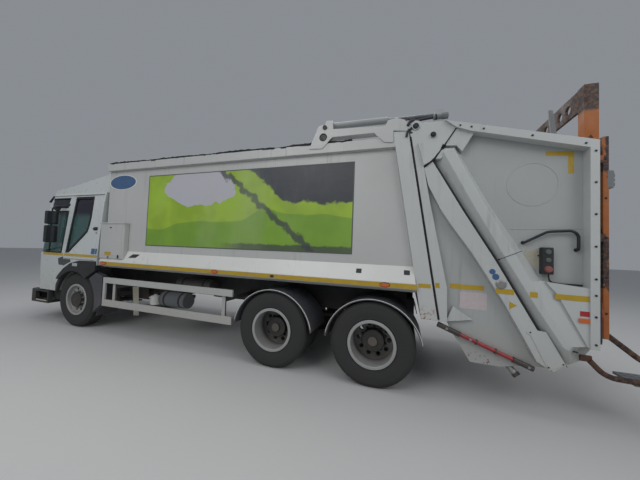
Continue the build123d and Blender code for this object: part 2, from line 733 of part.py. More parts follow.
# Tailgate: two side walls, a roof, a rear panel over the mouth and the hopper trough
tail_reach = seam_offset - tail_gap
trough_x = hinge_x - 1105
trough_z = 1320
trough_radius = 720
trough_wall = 30
tail_inner = tail_half - tail_wall


def behind_hinge(points):
    """Points (x, z) of the tailgate from (distance behind the hinge, z)."""
    return [(hinge_x - x, z) for x, z in points]


def below_hinge(points):
    """Points (x, z) of the tailgate from (distance behind the hinge, drop below it)."""
    return [(hinge_x - x, hinge_z - drop) for x, drop in points]


# Roof line of the tailgate, and the line of its lower edge from the back to the front
tail_roof = ((275, -49), (587, 31), (tail_depth, 336))
tail_foot = ((tail_depth, 795), (1627, 640), (1455, 530), (1181, 514), (926, 462), (642, 466),
             (445, 790), (395, 890))


def tail_side(y_low, y_high):
    """One side wall of the tailgate, rounded about the hinge at its top front."""
    lean = math.atan(seam_slope)
    with BuildSketch(Plane.XZ.offset(-y_high)) as outline:
        with BuildLine():
            head = ThreePointArc(
                (hinge_x + tail_reach * math.cos(lean), hinge_z - tail_reach * math.sin(lean)),
                (hinge_x + tail_reach * math.cos(0.7), hinge_z + tail_reach * math.sin(0.7)),
                (hinge_x, hinge_z + tail_reach))
            Polyline(head @ 1, *below_hinge(tail_roof), *behind_hinge(tail_foot),
                     (seam_x(tail_foot[-1][1], -tail_gap), tail_foot[-1][1]), head @ 0)
        make_face()
    extrude(outline.sketch, amount=y_high - y_low)


# Plates proud of the recessed side wall, each with the y of its face and its outline
pad_proud = 80
panel_proud = 105
gusset_proud = 40
pin_proud = 15
second_pin_radius = 36
column_foot = 895
column_head = hinge_z - 83
plate_head = hinge_z - 122
raised_plates = (
    (tail_strip, [(seam_x(column_foot, -2 * tail_gap), column_foot),
                  (seam_x(column_head, -2 * tail_gap), column_head)]
     + below_hinge(((20, 83), (104, 515)))
     + behind_hinge(((176, 2306), (381, 1290), (390, column_foot)))),
    (tail_strip, [(hinge_x - 20, hinge_z + 40), (seam_x(plate_head, -2 * tail_gap), plate_head)]
     + below_hinge(((17, 212), (322, 250), (442, 60), (440, 8), (315, -23), (275, -33)))),
    (tail_outer, below_hinge(((30, 222), (305, 242), (272, 329), (209, 412), (160, 459),
                              (100, 492)))),
    (tail_half + pad_proud, below_hinge(((448, 47), (645, 118), (513, 348), (443, 263),
                                         (305, 237)))),
    (tail_outer, below_hinge(((325, -26), (587, 42), (tail_depth - 5, 346),
                              (tail_depth - 5, 436), (595, 132), (448, 72)))),
    (tail_outer, behind_hinge(((tail_depth - 79, 800), (tail_depth - 5, 800)))
     + below_hinge(((tail_depth - 5, 382), (tail_depth - 79, 382)))),
    (tail_half + panel_proud, behind_hinge(((1300, 1431), (1692, 1386), (1715, 1386), (1715, 810),
                                            (1645, 810), (1398, 1311)))),
    (tail_half + gusset_proud, behind_hinge(((385, 900), (453, 1081), (653, 948)))),
)
with BuildPart() as tailgate_shell:
    tail_side(tail_inner, tail_half)
    for y_high, outline in raised_plates:
        side_panel(outline, tail_half, y_high)
    cross_bar(hinge_x, hinge_z, tail_reach - tail_gap, tail_half, tail_strip)
    cross_bar(hinge_x, hinge_z, hinge_pin_radius, ear_y - 20, tail_strip + pin_proud)
    cross_bar(hinge_x - 198, hinge_z - 126, second_pin_radius, tail_half, tail_strip + pin_proud)
    mirror(about=Plane.XZ)
    side_panel(below_hinge(tail_roof)
               + [(tail_rear_x, mouth_top), (tail_rear_x + tail_wall, mouth_top)]
               + below_hinge(((tail_depth - tail_wall, 362), (585, 67), (275, -13))),
               -tail_inner, tail_inner)
    with BuildSketch(Plane.XZ.offset(-tail_inner)) as trough:
        with BuildLine():
            outer = CenterArc((trough_x, trough_z), trough_radius + trough_wall, 217, 103)
            inner = CenterArc((trough_x, trough_z), trough_radius, 217, 103)
            Polyline(outer @ 0, (tail_rear_x, 900), (tail_rear_x, mouth_sill),
                     (tail_rear_x + 45, mouth_sill), inner @ 0)
            Polyline(outer @ 1, (hinge_x - 280, body_floor - 20),
                     (hinge_x - 265, body_floor + 20), inner @ 1)
        make_face()
    extrude(trough.sketch, amount=2 * tail_inner)
    for y in (ram_y - 45, ram_y + 33):
        for side in (-1, 1):
            low, high = sorted((side * y, side * (y + 12)))
            side_panel([(ram_eye_x + 70, hinge_z + 18), (ram_eye_x - 160, hinge_z - 22),
                        (ram_eye_x - 50, ram_eye_z + 50), (ram_eye_x + 50, ram_eye_z + 50)],
                       low, high)
write(tailgate_shell.part, "tailgate_shell")

# Raised covers over the packer rams: a long housing with sloping sides, and a strip
housing_top = (hinge_x - 370, hinge_z - 272)
housing_foot = (hinge_x - 1500, 765)
housing_width = 280
housing_slope = 31
with BuildPart() as ram_covers:
    lean = (housing_top[0] - housing_foot[0], housing_top[1] - housing_foot[1])
    with BuildSketch(Plane.XZ.offset(-tail_half)) as housing:
        with Locations(((housing_top[0] + housing_foot[0]) / 2,
                        (housing_top[1] + housing_foot[1]) / 2)):
            Rectangle(math.hypot(*lean), housing_width,
                      rotation=math.degrees(math.atan2(lean[1], lean[0])))
    extrude(housing.sketch, amount=-(tail_outer + 5 - tail_half), taper=housing_slope)
    side_panel(below_hinge(((104, 522), (215, 432)))
               + behind_hinge(((544, 2183), (873, 1626), (1290, 858), (1482, 591), (1380, 505),
                               (1235, 595), (1115, 835), (935, 1180), (820, 1375), (620, 1710),
                               (415, 2007), (300, 2190), (155, 2490))),
               tail_half, tail_strip)
    add(tailgate_shell.part, mode=Mode.SUBTRACT)
    mirror(about=Plane.XZ)
write(ram_covers.part, "ram_covers")

# Mast posts at the rear edges of the hopper, which guide the bin lift
post_x = tail_rear_x - mast_gap
post_depth_x = 47
post_width = 76
post_y = tail_half + 12
with BuildPart() as mast_posts:
    block(post_x - post_depth_x, post_x, post_y - post_width / 2, post_y + post_width / 2,
          900, hinge_z - 292)
    for z in (1150, 1900, hinge_z - 522):
        block(post_x, tail_rear_x, post_y - 20, post_y + post_width / 2, z - 40, z + 40)
    mirror(about=Plane.XZ)
write(mast_posts.part, "mast_posts")

# Rear footboards on bent tube hoops
with BuildPart() as footboards:
    pipe([(post_x - 30, post_y, 950), (post_x - 330, post_y, 700), (rear_x + 26, post_y, 640),
          (rear_x + 26, post_y, 500), (post_x - 40, post_y, 520), (post_x + 90, post_y, 665)],
         26, 60)
    block(rear_x, post_x - 260, 830, post_y, 470, 500)
    block(post_x + 70, post_x + 165, tail_half, post_y + 10, 650, 710)
    add(mast_posts.part, mode=Mode.SUBTRACT)
    mirror(about=Plane.XZ)
write(footboards.part, "footboards")

# Small fittings on the tailgate sides: controls, a bent handle, a prop and lamps
handle_y = tail_half + 45
with BuildPart() as side_fittings:
    block(hinge_x - 1385, hinge_x - 1280, tail_half, tail_half + 70, 1505, 1788)
    block(hinge_x - 1686, hinge_x - 1567, tail_half + panel_proud,
          tail_half + panel_proud + 15, 1049, 1089)
    pipe([(hinge_x - 1134, tail_half, 1835), (hinge_x - 1134, handle_y, 1835),
          (hinge_x - 1340, handle_y, 1955), (hinge_x - 1598, handle_y, 1967),
          (hinge_x - 1598, handle_y, 1771), (hinge_x - 1598, tail_half, 1771)], 14, 25)
    strut_y = tail_half + 40
    pipe([(hinge_x - 265, strut_y, 871), (hinge_x - 985, strut_y, 593),
          (hinge_x - 1240, strut_y, 495)], 22, 100)
    block(hinge_x - 1205, hinge_x - 1155, tail_half, strut_y - 15, 520, 560)
    block(hinge_x - 635, hinge_x - 585, tail_half, strut_y - 15, 700, 780)
    add(tailgate_shell.part, mode=Mode.SUBTRACT)
    add(ram_covers.part, mode=Mode.SUBTRACT)
    mirror(about=Plane.XZ)
write(side_fittings.part, "side_fittings")

# Packer: a carriage that slides down the leaning guides, with a hinged blade
guide_angle = math.radians(239.3)
guide_x = math.cos(guide_angle)
guide_z = math.sin(guide_angle)
packer_stroke = 750
packer_gap = 62
packer_half = tail_inner - packer_gap
blade_length = 640
pivot_x = trough_x - guide_x * packer_stroke
pivot_z = trough_z - guide_z * packer_stroke
carriage_length = 1000
blade_pin = 30


def along_guide(distance, aside):
    """Point (x, z) down the guide from the blade's pivot and to its front side."""
    return (pivot_x + guide_x * distance - guide_z * aside,
            pivot_z + guide_z * distance + guide_x * aside)


with BuildPart() as packer_carriage:
    side_panel([along_guide(-90, -60), along_guide(-90, 60),
                along_guide(-carriage_length, 60), along_guide(-carriage_length, -60)],
               -packer_half, packer_half)
    for y in (-850, -280, 280, 850):
        side_panel([along_guide(-90, -60), along_guide(0, -55), along_guide(50, 0),
                    along_guide(0, 55), along_guide(-90, 60)], y - 40, y + 40)
        cross_bar(pivot_x, pivot_z, blade_pin + 1, y - 41, y + 41, mode=Mode.SUBTRACT)
write(packer_carriage.part, "packer_carriage")

with BuildPart() as packer_blade:
    cross_bar(pivot_x, pivot_z, blade_pin, -packer_half, packer_half)
    side_panel([along_guide(95, -60), along_guide(95, 60), along_guide(blade_length, 15),
                along_guide(blade_length, -15)], -packer_half, packer_half)
    for y in (35 - packer_half, -560, 0, 560, packer_half - 35):
        side_panel([along_guide(0, -50), along_guide(0, 50), along_guide(95, 60),
                    along_guide(95, -60)], y - 35, y + 35)
write(packer_blade.part, "packer_blade")

# Bin lift, raised: two box columns, a holed beam across their heads and a low beam
lift_high = 3665
lift_low = 2250
lift_half = 800
lift_front_x = post_x - 10
lift_depth = 130
lift_gap = 5
lift_reach = post_y - post_width / 2 - lift_gap
with BuildPart() as bin_lift:
    for side in (-1, 1):
        y = side * lift_half
        block(lift_front_x - lift_depth, lift_front_x, y - 60, y + 60, lift_low, lift_high)
    block(lift_front_x - 30, lift_front_x, -lift_half, lift_half, 3400, lift_high - 10)
    block(lift_front_x - lift_depth / 2, lift_front_x, -lift_reach, lift_reach,
          lift_low, lift_low + 120)
    with BuildSketch(Plane.YZ.offset(lift_front_x - 40)) as lift_holes:
        with GridLocations(180, 1, 7, 1):
            with Locations((0, 3520)):
                Circle(55)
    extrude(lift_holes.sketch, amount=60, mode=Mode.SUBTRACT)
write(bin_lift.part, "bin_lift")

# Rams over the roof: barrels hinged on the arms, and their rods
ram_run = ram_pin_x - ram_eye_x
with BuildPart() as lift_barrels:
    for side in (-1, 1):
        ram_axis = Plane(origin=(ram_pin_x, side * ram_y, ram_pin_z), x_dir=(0, 1, 0),
                         z_dir=(ram_eye_x - ram_pin_x, 0, ram_eye_z - ram_pin_z))
        with BuildSketch(ram_axis.offset(40)) as tube:
            Circle(ram_radius)
            Circle(rod_radius + 1, mode=Mode.SUBTRACT)
        extrude(tube.sketch, amount=760)
        cross_bar(ram_pin_x, ram_pin_z, 44, side * ram_y - 28, side * ram_y + 28)
    cross_bar(ram_pin_x, ram_pin_z, 25, -2000, 2000, mode=Mode.SUBTRACT)
write(lift_barrels.part, "lift_barrels")

with BuildPart() as lift_rods:
    for side in (-1, 1):
        ram_axis = Plane(origin=(ram_pin_x, side * ram_y, ram_pin_z), x_dir=(0, 1, 0),
                         z_dir=(ram_eye_x - ram_pin_x, 0, ram_eye_z - ram_pin_z))
        with BuildSketch(ram_axis.offset(700)) as rod:
            Circle(rod_radius)
        extrude(rod.sketch, amount=ram_run - 730)
        cross_bar(ram_eye_x, ram_eye_z, 42, side * ram_y - 22, side * ram_y + 22)
    cross_bar(ram_eye_x, ram_eye_z, 24, -2000, 2000, mode=Mode.SUBTRACT)
write(lift_rods.part, "lift_rods")
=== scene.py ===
"""Looks of a three-axle garbage truck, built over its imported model.

All lengths are metres in the model's own frame: X forward, Y to the truck's left,
Z up, with the ground at zero. Every piece sits at the origin and carries its place
in its mesh, so that patterns on object coordinates stay put.
"""
from __future__ import annotations

import json
import logging
import math
from dataclasses import dataclass
from enum import Enum
from typing import Callable, Iterable, Sequence

import bmesh
import bpy
from mathutils import Matrix, Vector, noise


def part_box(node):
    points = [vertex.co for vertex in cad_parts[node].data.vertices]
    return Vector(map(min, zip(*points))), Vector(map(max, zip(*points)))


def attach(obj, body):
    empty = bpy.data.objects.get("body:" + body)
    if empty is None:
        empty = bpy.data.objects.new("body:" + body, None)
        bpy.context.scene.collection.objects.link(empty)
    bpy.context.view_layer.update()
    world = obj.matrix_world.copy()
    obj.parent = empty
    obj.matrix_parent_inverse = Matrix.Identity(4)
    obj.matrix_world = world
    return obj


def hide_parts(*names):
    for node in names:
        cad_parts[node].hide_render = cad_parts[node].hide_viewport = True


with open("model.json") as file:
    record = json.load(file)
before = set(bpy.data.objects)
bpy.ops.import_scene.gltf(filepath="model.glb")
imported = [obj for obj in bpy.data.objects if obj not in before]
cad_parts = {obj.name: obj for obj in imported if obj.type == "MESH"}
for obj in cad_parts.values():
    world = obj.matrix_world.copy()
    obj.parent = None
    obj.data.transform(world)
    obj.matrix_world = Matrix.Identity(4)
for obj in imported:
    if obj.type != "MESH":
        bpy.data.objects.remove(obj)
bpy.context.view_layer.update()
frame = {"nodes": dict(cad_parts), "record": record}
LOG = logging.getLogger("garbage_truck")

Colour = tuple[float, float, float]
Point2 = tuple[float, float]
Point3 = tuple[float, float, float]
Outline = Sequence[Point2]
Socket = bpy.types.NodeSocket
Verts = list[bmesh.types.BMVert]


class Facing(Enum):
    """Plane in which a flat outline is drawn."""

    SIDE = "outline as (x, z), thickness along Y"
    PLAN = "outline as (x, y), thickness along Z"
    FRONT = "outline as (y, z), thickness along X"

    def point(self, across: float, up: float, along: float) -> Point3:
        """Place of an outline point.

        Args:
            across: first number of the outline point.
            up: second number of the outline point.
            along: place along the thickness.

        Returns:
            The point in the truck's frame.
        """
        if self is Facing.SIDE:
            return (across, along, up)
        if self is Facing.PLAN:
            return (across, up, along)
        return (along, across, up)


# Node graphs and finishes


class Graph:
    """Node tree of one material, wired by short calls."""

    def __init__(self, name: str) -> None:
        """Start a material with a shader, its output and the object's coordinates."""
        self.material = bpy.data.materials.new(name)
        self.material.use_nodes = True
        self.tree = self.material.node_tree
        self.tree.nodes.clear()
        output = self.tree.nodes.new("ShaderNodeOutputMaterial")
        self.shader = self.tree.nodes.new("ShaderNodeBsdfPrincipled")
        self.link(self.shader.outputs[0], output.inputs[0])
        self.place = self.tree.nodes.new("ShaderNodeTexCoord").outputs["Object"]
        self.parts = self.tree.nodes.new("ShaderNodeSeparateXYZ")
        self.link(self.place, self.parts.inputs[0])

    def link(self, source: Socket, target: Socket) -> None:
        """Join an output to an input."""
        self.tree.links.new(source, target)

    def feed(self, target: Socket, value: object) -> None:
        """Set an input to a number or colour, or link it to a socket.

        Args:
            target: the input.
            value: number, colour or socket.
        """
        if isinstance(value, Socket):
            self.link(value, target)
        elif isinstance(value, tuple):
            target.default_value = (*value, 1.0)
        else:
            target.default_value = value

    def axis(self, index: int) -> Socket:
        """Object coordinate 0, 1 or 2."""
        return self.parts.outputs[index]

    def noise(self, size: float, detail: float = 3.0,
              stretch: Point3 = (1.0, 1.0, 1.0)) -> Socket:
        """Cloudy pattern.

        Args:
            size: size of its blotches in metres.
            detail: octaves of finer pattern.
            stretch: how far the blotches are drawn out along X, Y and Z.

        Returns:
            The pattern as a socket from 0 to 1.
        """
        mapping = self.tree.nodes.new("ShaderNodeMapping")
        mapping.inputs["Scale"].default_value = [1.0 / (size * s) for s in stretch]
        self.link(self.place, mapping.inputs[0])
        node = self.tree.nodes.new("ShaderNodeTexNoise")
        node.inputs["Scale"].default_value = 1.0
        node.inputs["Detail"].default_value = detail
        node.inputs["Roughness"].default_value = 0.6
        self.link(mapping.outputs[0], node.inputs["Vector"])
        return node.outputs[0]

    def band(self, source: Socket, low: float, high: float, to_low: float = 0.0,
             to_high: float = 1.0) -> Socket:
        """Smooth step of a socket.

        Args:
            source: the socket that is read.
            low: value at which the step starts.
            high: value at which it ends.
            to_low: result at the start.
            to_high: result at the end.

        Returns:
            The stepped socket.
        """
        node = self.tree.nodes.new("ShaderNodeMapRange")
        node.interpolation_type = "SMOOTHSTEP"
        for name, value in (("From Min", low), ("From Max", high), ("To Min", to_low),
                            ("To Max", to_high)):
            node.inputs[name].default_value = value
        self.link(source, node.inputs["Value"])
        return node.outputs["Result"]

    def calc(self, operation: str, first: object, second: object = 0.0) -> Socket:
        """One step of arithmetic.

        Args:
            operation: name of Blender's math operation.
            first: socket or number.
            second: socket or number, for an operation on two.

        Returns:
            The result as a socket.
        """
        node = self.tree.nodes.new("ShaderNodeMath")
        node.operation = operation
        self.feed(node.inputs[0], first)
        self.feed(node.inputs[1], second)
        return node.outputs[0]

    def blend(self, share: object, first: object, second: object) -> Socket:
        """Mix of two colours.

        Args:
            share: share of the second one, as a socket or number.
            first: socket or colour.
            second: socket or colour.

        Returns:
            The mixed colour as a socket.
        """
        node = self.tree.nodes.new("ShaderNodeMix")
        node.data_type = "RGBA"
        self.feed(node.inputs[0], share)
        self.feed(node.inputs[6], first)
        self.feed(node.inputs[7], second)
        return node.outputs[2]

    def bump(self, height: Socket, depth: float) -> None:
        """Give the surface a relief, on top of any before it.

        Args:
            height: pattern of the relief.
            depth: its depth in metres.
        """
        node = self.tree.nodes.new("ShaderNodeBump")
        node.inputs["Distance"].default_value = depth
        self.link(height, node.inputs["Height"])
        earlier = self.shader.inputs["Normal"].links
        if earlier:
            self.link(earlier[0].from_socket, node.inputs["Normal"])
        self.link(node.outputs[0], self.shader.inputs["Normal"])

    def done(self, colour: object, roughness: object,
             metallic: float = 0.0) -> bpy.types.Material:
        """Feed the shader's main sockets.

        Args:
            colour: base colour, as a socket or colour.
            roughness: socket or number.
            metallic: share of metal.

        Returns:
            The finished material.
        """
        self.feed(self.shader.inputs["Base Color"], colour)
        self.feed(self.shader.inputs["Roughness"], roughness)
        self.shader.inputs["Metallic"].default_value = metallic
        return self.material


@dataclass(frozen=True)
class Surface:
    """What every finish shares: its material's name and the record's material slot."""

    name: str
    slot: str

    def build(self, graph: Graph) -> bpy.types.Material:
        """Wire the material; each kind of finish has its own way."""
        raise NotImplementedError

    def material(self) -> bpy.types.Material:
        """The finish's material, made when it is first asked for."""
        return bpy.data.materials.get(self.name) or self.build(Graph(self.name))


@dataclass(frozen=True)
class Finish(Surface):
    """Paint, plastic or metal with the dirt and wear that years of work leave, and painted shade in
    its hollows where one is given.

    The dust lies below dust_top, the chips below chip_top. A hollow shade is (inner, outer, least):
    distances from the truck's middle between which the colour rises from a dark share, least, to
    its own; this darkening is painted shade for recesses and deep dishes.
    """

    colour: Colour
    roughness: float = 0.5
    metallic: float = 0.0
    coat: float = 0.0
    tone: float = 0.10
    tone_size: float = 0.7
    streaks: float = 0.0
    streak_colour: Colour = (0.12, 0.105, 0.085)
    dust: float = 0.0
    dust_top: float = 1.1
    dust_colour: Colour = (0.30, 0.245, 0.18)
    chips: float = 0.0
    chip_size: float = 0.05
    chip_colour: Colour = (0.13, 0.055, 0.028)
    chip_top: float = 9.0
    grain: float = 0.0
    grain_size: float = 0.004
    dents: float = 0.0
    hollow_shade: Point3 | None = None

    def build(self, graph: Graph) -> bpy.types.Material:
        """Wire the finish.

        Args:
            graph: the material's empty node tree.

        Returns:
            The material.
        """
        pale = tuple(min(1.0, c * (1 + self.tone)) for c in self.colour)
        dark = tuple(c * (1 - self.tone) for c in self.colour)
        colour = graph.blend(graph.noise(self.tone_size, 5.0), dark, pale)
        rough = graph.band(graph.noise(self.tone_size * 0.3, 4.0), 0.3, 0.7,
                           self.roughness * 0.85, min(1.0, self.roughness * 1.2))
        # Painted shade: faces nearer the truck's middle than the outer distance are darkened,
        # standing for the shade in recesses
        if self.hollow_shade:
            inner, outer, least = self.hollow_shade
            depth = graph.band(graph.calc("ABSOLUTE", graph.axis(1)), inner, outer, 1.0 - least,
                               0.0)
            colour = graph.blend(depth, colour, tuple(c * 0.12 for c in self.colour))
        if self.streaks:
            runs = graph.band(graph.noise(0.06, 4.0, (1.0, 1.0, 14.0)), 0.52, 0.78, 0.0,
                              self.streaks)
            broad = graph.band(graph.noise(0.5, 3.0, (1.0, 1.0, 2.5)), 0.42, 0.72)
            colour = graph.blend(graph.calc("MULTIPLY", runs, broad), colour,
                                 self.streak_colour)
        if self.dust:
            low = graph.band(graph.axis(2), self.dust_top * 0.3, self.dust_top, self.dust, 0.0)
            cloud = graph.band(graph.noise(0.35, 6.0), 0.3, 0.75, 0.35, 1.0)
            colour = graph.blend(graph.calc("MULTIPLY", low, cloud), colour, self.dust_colour)
        if self.chips:
            least = 0.72 - self.chips * 0.4
            spots = graph.band(graph.noise(self.chip_size, 6.0), least, least + 0.03)
            reach = graph.band(graph.axis(2), self.chip_top * 0.8, self.chip_top, 1.0, 0.0)
            chipped = graph.calc("MULTIPLY", spots, reach)
            colour = graph.blend(chipped, colour, self.chip_colour)
            graph.bump(graph.calc("SUBTRACT", 1.0, chipped), 0.0008)
        if self.dents:
            graph.bump(graph.noise(0.45, 2.0), self.dents)
        if self.grain:
            graph.bump(graph.noise(self.grain_size, 2.0), self.grain)
        if self.coat:
            graph.shader.inputs["Coat Weight"].default_value = self.coat
            graph.shader.inputs["Coat Roughness"].default_value = 0.25
        return graph.done(colour, rough, self.metallic)


@dataclass(frozen=True)
class Glass(Surface):
    """Tinted glass, darker towards its top band, with a film of dust."""

    tint: Colour
    top_tint: Colour
    band_height: float
    clear: float = 0.75

    def build(self, graph: Graph) -> bpy.types.Material:
        """Wire the glass.

        Args:
            graph: the material's empty node tree.

        Returns:
            The material.
        """
        shade = graph.band(graph.axis(2), self.band_height - 0.06, self.band_height + 0.06)
        rough = graph.band(graph.noise(0.3, 5.0), 0.35, 0.8, 0.03, 0.16)
        graph.shader.inputs["Transmission Weight"].default_value = self.clear
        graph.shader.inputs["IOR"].default_value = 1.35
        return graph.done(graph.blend(shade, self.tint, self.top_tint), rough)


@dataclass(frozen=True)
class Lens(Surface):
    """Ribbed coloured lamp lens with a faint glow of its own colour."""

    colour: Colour
    ribs: float = 0.006

    def build(self, graph: Graph) -> bpy.types.Material:
        """Wire the lens.

        Args:
            graph: the material's empty node tree.

        Returns:
            The material.
        """
        dull = tuple(c * 0.7 for c in self.colour)
        graph.shader.inputs["Coat Weight"].default_value = 0.6
        graph.shader.inputs["Emission Strength"].default_value = 0.06
        graph.shader.inputs["Emission Color"].default_value = (*self.colour, 1.0)
        wave = graph.tree.nodes.new("ShaderNodeTexWave")
        wave.inputs["Scale"].default_value = 0.3 / self.ribs
        graph.link(graph.place, wave.inputs["Vector"])
        graph.bump(wave.outputs["Fac"], 0.0012)
        return graph.done(graph.blend(graph.noise(0.05), dull, self.colour), 0.22)


@dataclass(frozen=True)
class Peeling(Surface):
    """Orange paint flaking off dark rusted steel, in big ragged patches."""

    paint: Colour
    bare: Colour
    share: float
    patch: float = 0.22
    black_above: float = 99.0
    rust: Colour = (0.16, 0.07, 0.035)

    def build(self, graph: Graph) -> bpy.types.Material:
        """Wire the flaking paint.

        Args:
            graph: the material's empty node tree.

        Returns:
            The material.
        """
        patches = graph.noise(self.patch, 7.0, (1.0, 1.0, 1.6))
        least = 0.58 - self.share * 0.4
        cover = graph.band(patches, least, least + 0.02)
        top = graph.band(graph.axis(2), self.black_above - 0.02, self.black_above + 0.02, 1.0,
                         0.0)
        cover = graph.calc("MULTIPLY", cover, top)
        faded = tuple(c * 0.62 for c in self.paint)
        paint = graph.blend(graph.noise(0.12, 5.0), faded, self.paint)
        rust = graph.blend(graph.band(graph.noise(0.03, 5.0), 0.4, 0.7), self.bare, self.rust)
        graph.bump(cover, 0.0015)
        graph.bump(graph.noise(0.008, 3.0), 0.0006)
        return graph.done(graph.blend(cover, rust, paint),
                          graph.band(patches, 0.3, 0.7, 0.8, 0.5))


@dataclass(frozen=True)
class Banner(Surface):
    """Printed sheet of plain colour fields, sun-bleached and torn in dark streaks.

    Low and high are its corners as (x, z).
    """

    low: Point2
    high: Point2
    lime: Colour = (0.330, 0.500, 0.040)
    leaf: Colour = (0.080, 0.240, 0.035)
    pale: Colour = (0.46, 0.46, 0.50)
    slate: Colour = (0.045, 0.050, 0.060)
    bleached: Colour = (0.36, 0.40, 0.30)
    # Middle and half size of the pale cloud, as shares of the sheet
    cloud_along: Point2 = (0.30, 0.20)
    cloud_up: Point2 = (0.80, 0.26)

    def build(self, graph: Graph) -> bpy.types.Material:
        """Wire the print.

        Args:
            graph: the material's empty node tree.

        Returns:
            The material.
        """
        def times(first: object, second: object) -> Socket:
            """Product of two sockets or numbers."""
            return graph.calc("MULTIPLY", first, second)

        def less(first: object, second: object) -> Socket:
            """Difference of two sockets or numbers."""
            return graph.calc("SUBTRACT", first, second)

        def plus(first: object, second: object) -> Socket:
            """Sum of two sockets or numbers."""
            return graph.calc("ADD", first, second)

        def from_cloud(share: Socket, middle: float, half: float) -> Socket:
            """Squared distance from the pale cloud's middle, in its half sizes."""
            return graph.calc("POWER", graph.calc("DIVIDE", less(share, middle), half), 2.0)

        along = graph.calc("DIVIDE", less(self.high[0], graph.axis(0)),
                           self.high[0] - self.low[0])
        up = graph.calc("DIVIDE", less(graph.axis(2), self.low[1]), self.high[1] - self.low[1])
        colour = graph.blend(graph.band(graph.noise(0.5, 2.0), 0.35, 0.65), self.lime,
                             tuple(c * 0.8 for c in self.lime))
        hill = plus(times(graph.noise(1.1, 1.0), 0.55), times(along, 0.25))
        field_line = graph.band(less(hill, up), 0.03, 0.05)
        colour = graph.blend(times(field_line, 0.5), colour, self.leaf)
        cloud = plus(from_cloud(along, *self.cloud_along), from_cloud(up, *self.cloud_up))
        wavy = plus(cloud, graph.noise(0.25, 2.0))
        colour = graph.blend(graph.band(wavy, 1.45, 1.40, 1.0, 0.0), self.pale, colour)
        ragged = plus(plus(times(up, 0.42), along), times(graph.noise(0.14, 5.0), 0.10))
        high_part = graph.band(less(up, times(graph.noise(0.3, 3.0), 0.25)), 0.42, 0.46)
        dark = times(graph.band(ragged, 1.02, 1.04), high_part)
        colour = graph.blend(dark, colour, self.slate)
        streak = graph.calc("ABSOLUTE", less(ragged, 0.90))
        colour = graph.blend(graph.band(streak, 0.012, 0.030, 0.85, 0.0), colour, self.slate)
        foot = plus(up, times(graph.noise(0.10, 4.0), 0.06))
        foot_mask = times(graph.band(foot, 0.085, 0.11, 0.8, 0.0),
                          graph.band(along, 0.40, 0.55))
        colour = graph.blend(foot_mask, colour, self.slate)
        bleach = graph.band(graph.noise(0.7, 6.0, (1.0, 1.0, 3.0)), 0.45, 0.85, 0.0, 0.35)
        colour = graph.blend(bleach, colour, self.bleached)
        graph.bump(graph.noise(0.16, 4.0, (2.0, 1.0, 1.0)), 0.003)
        return graph.done(colour, 0.42)


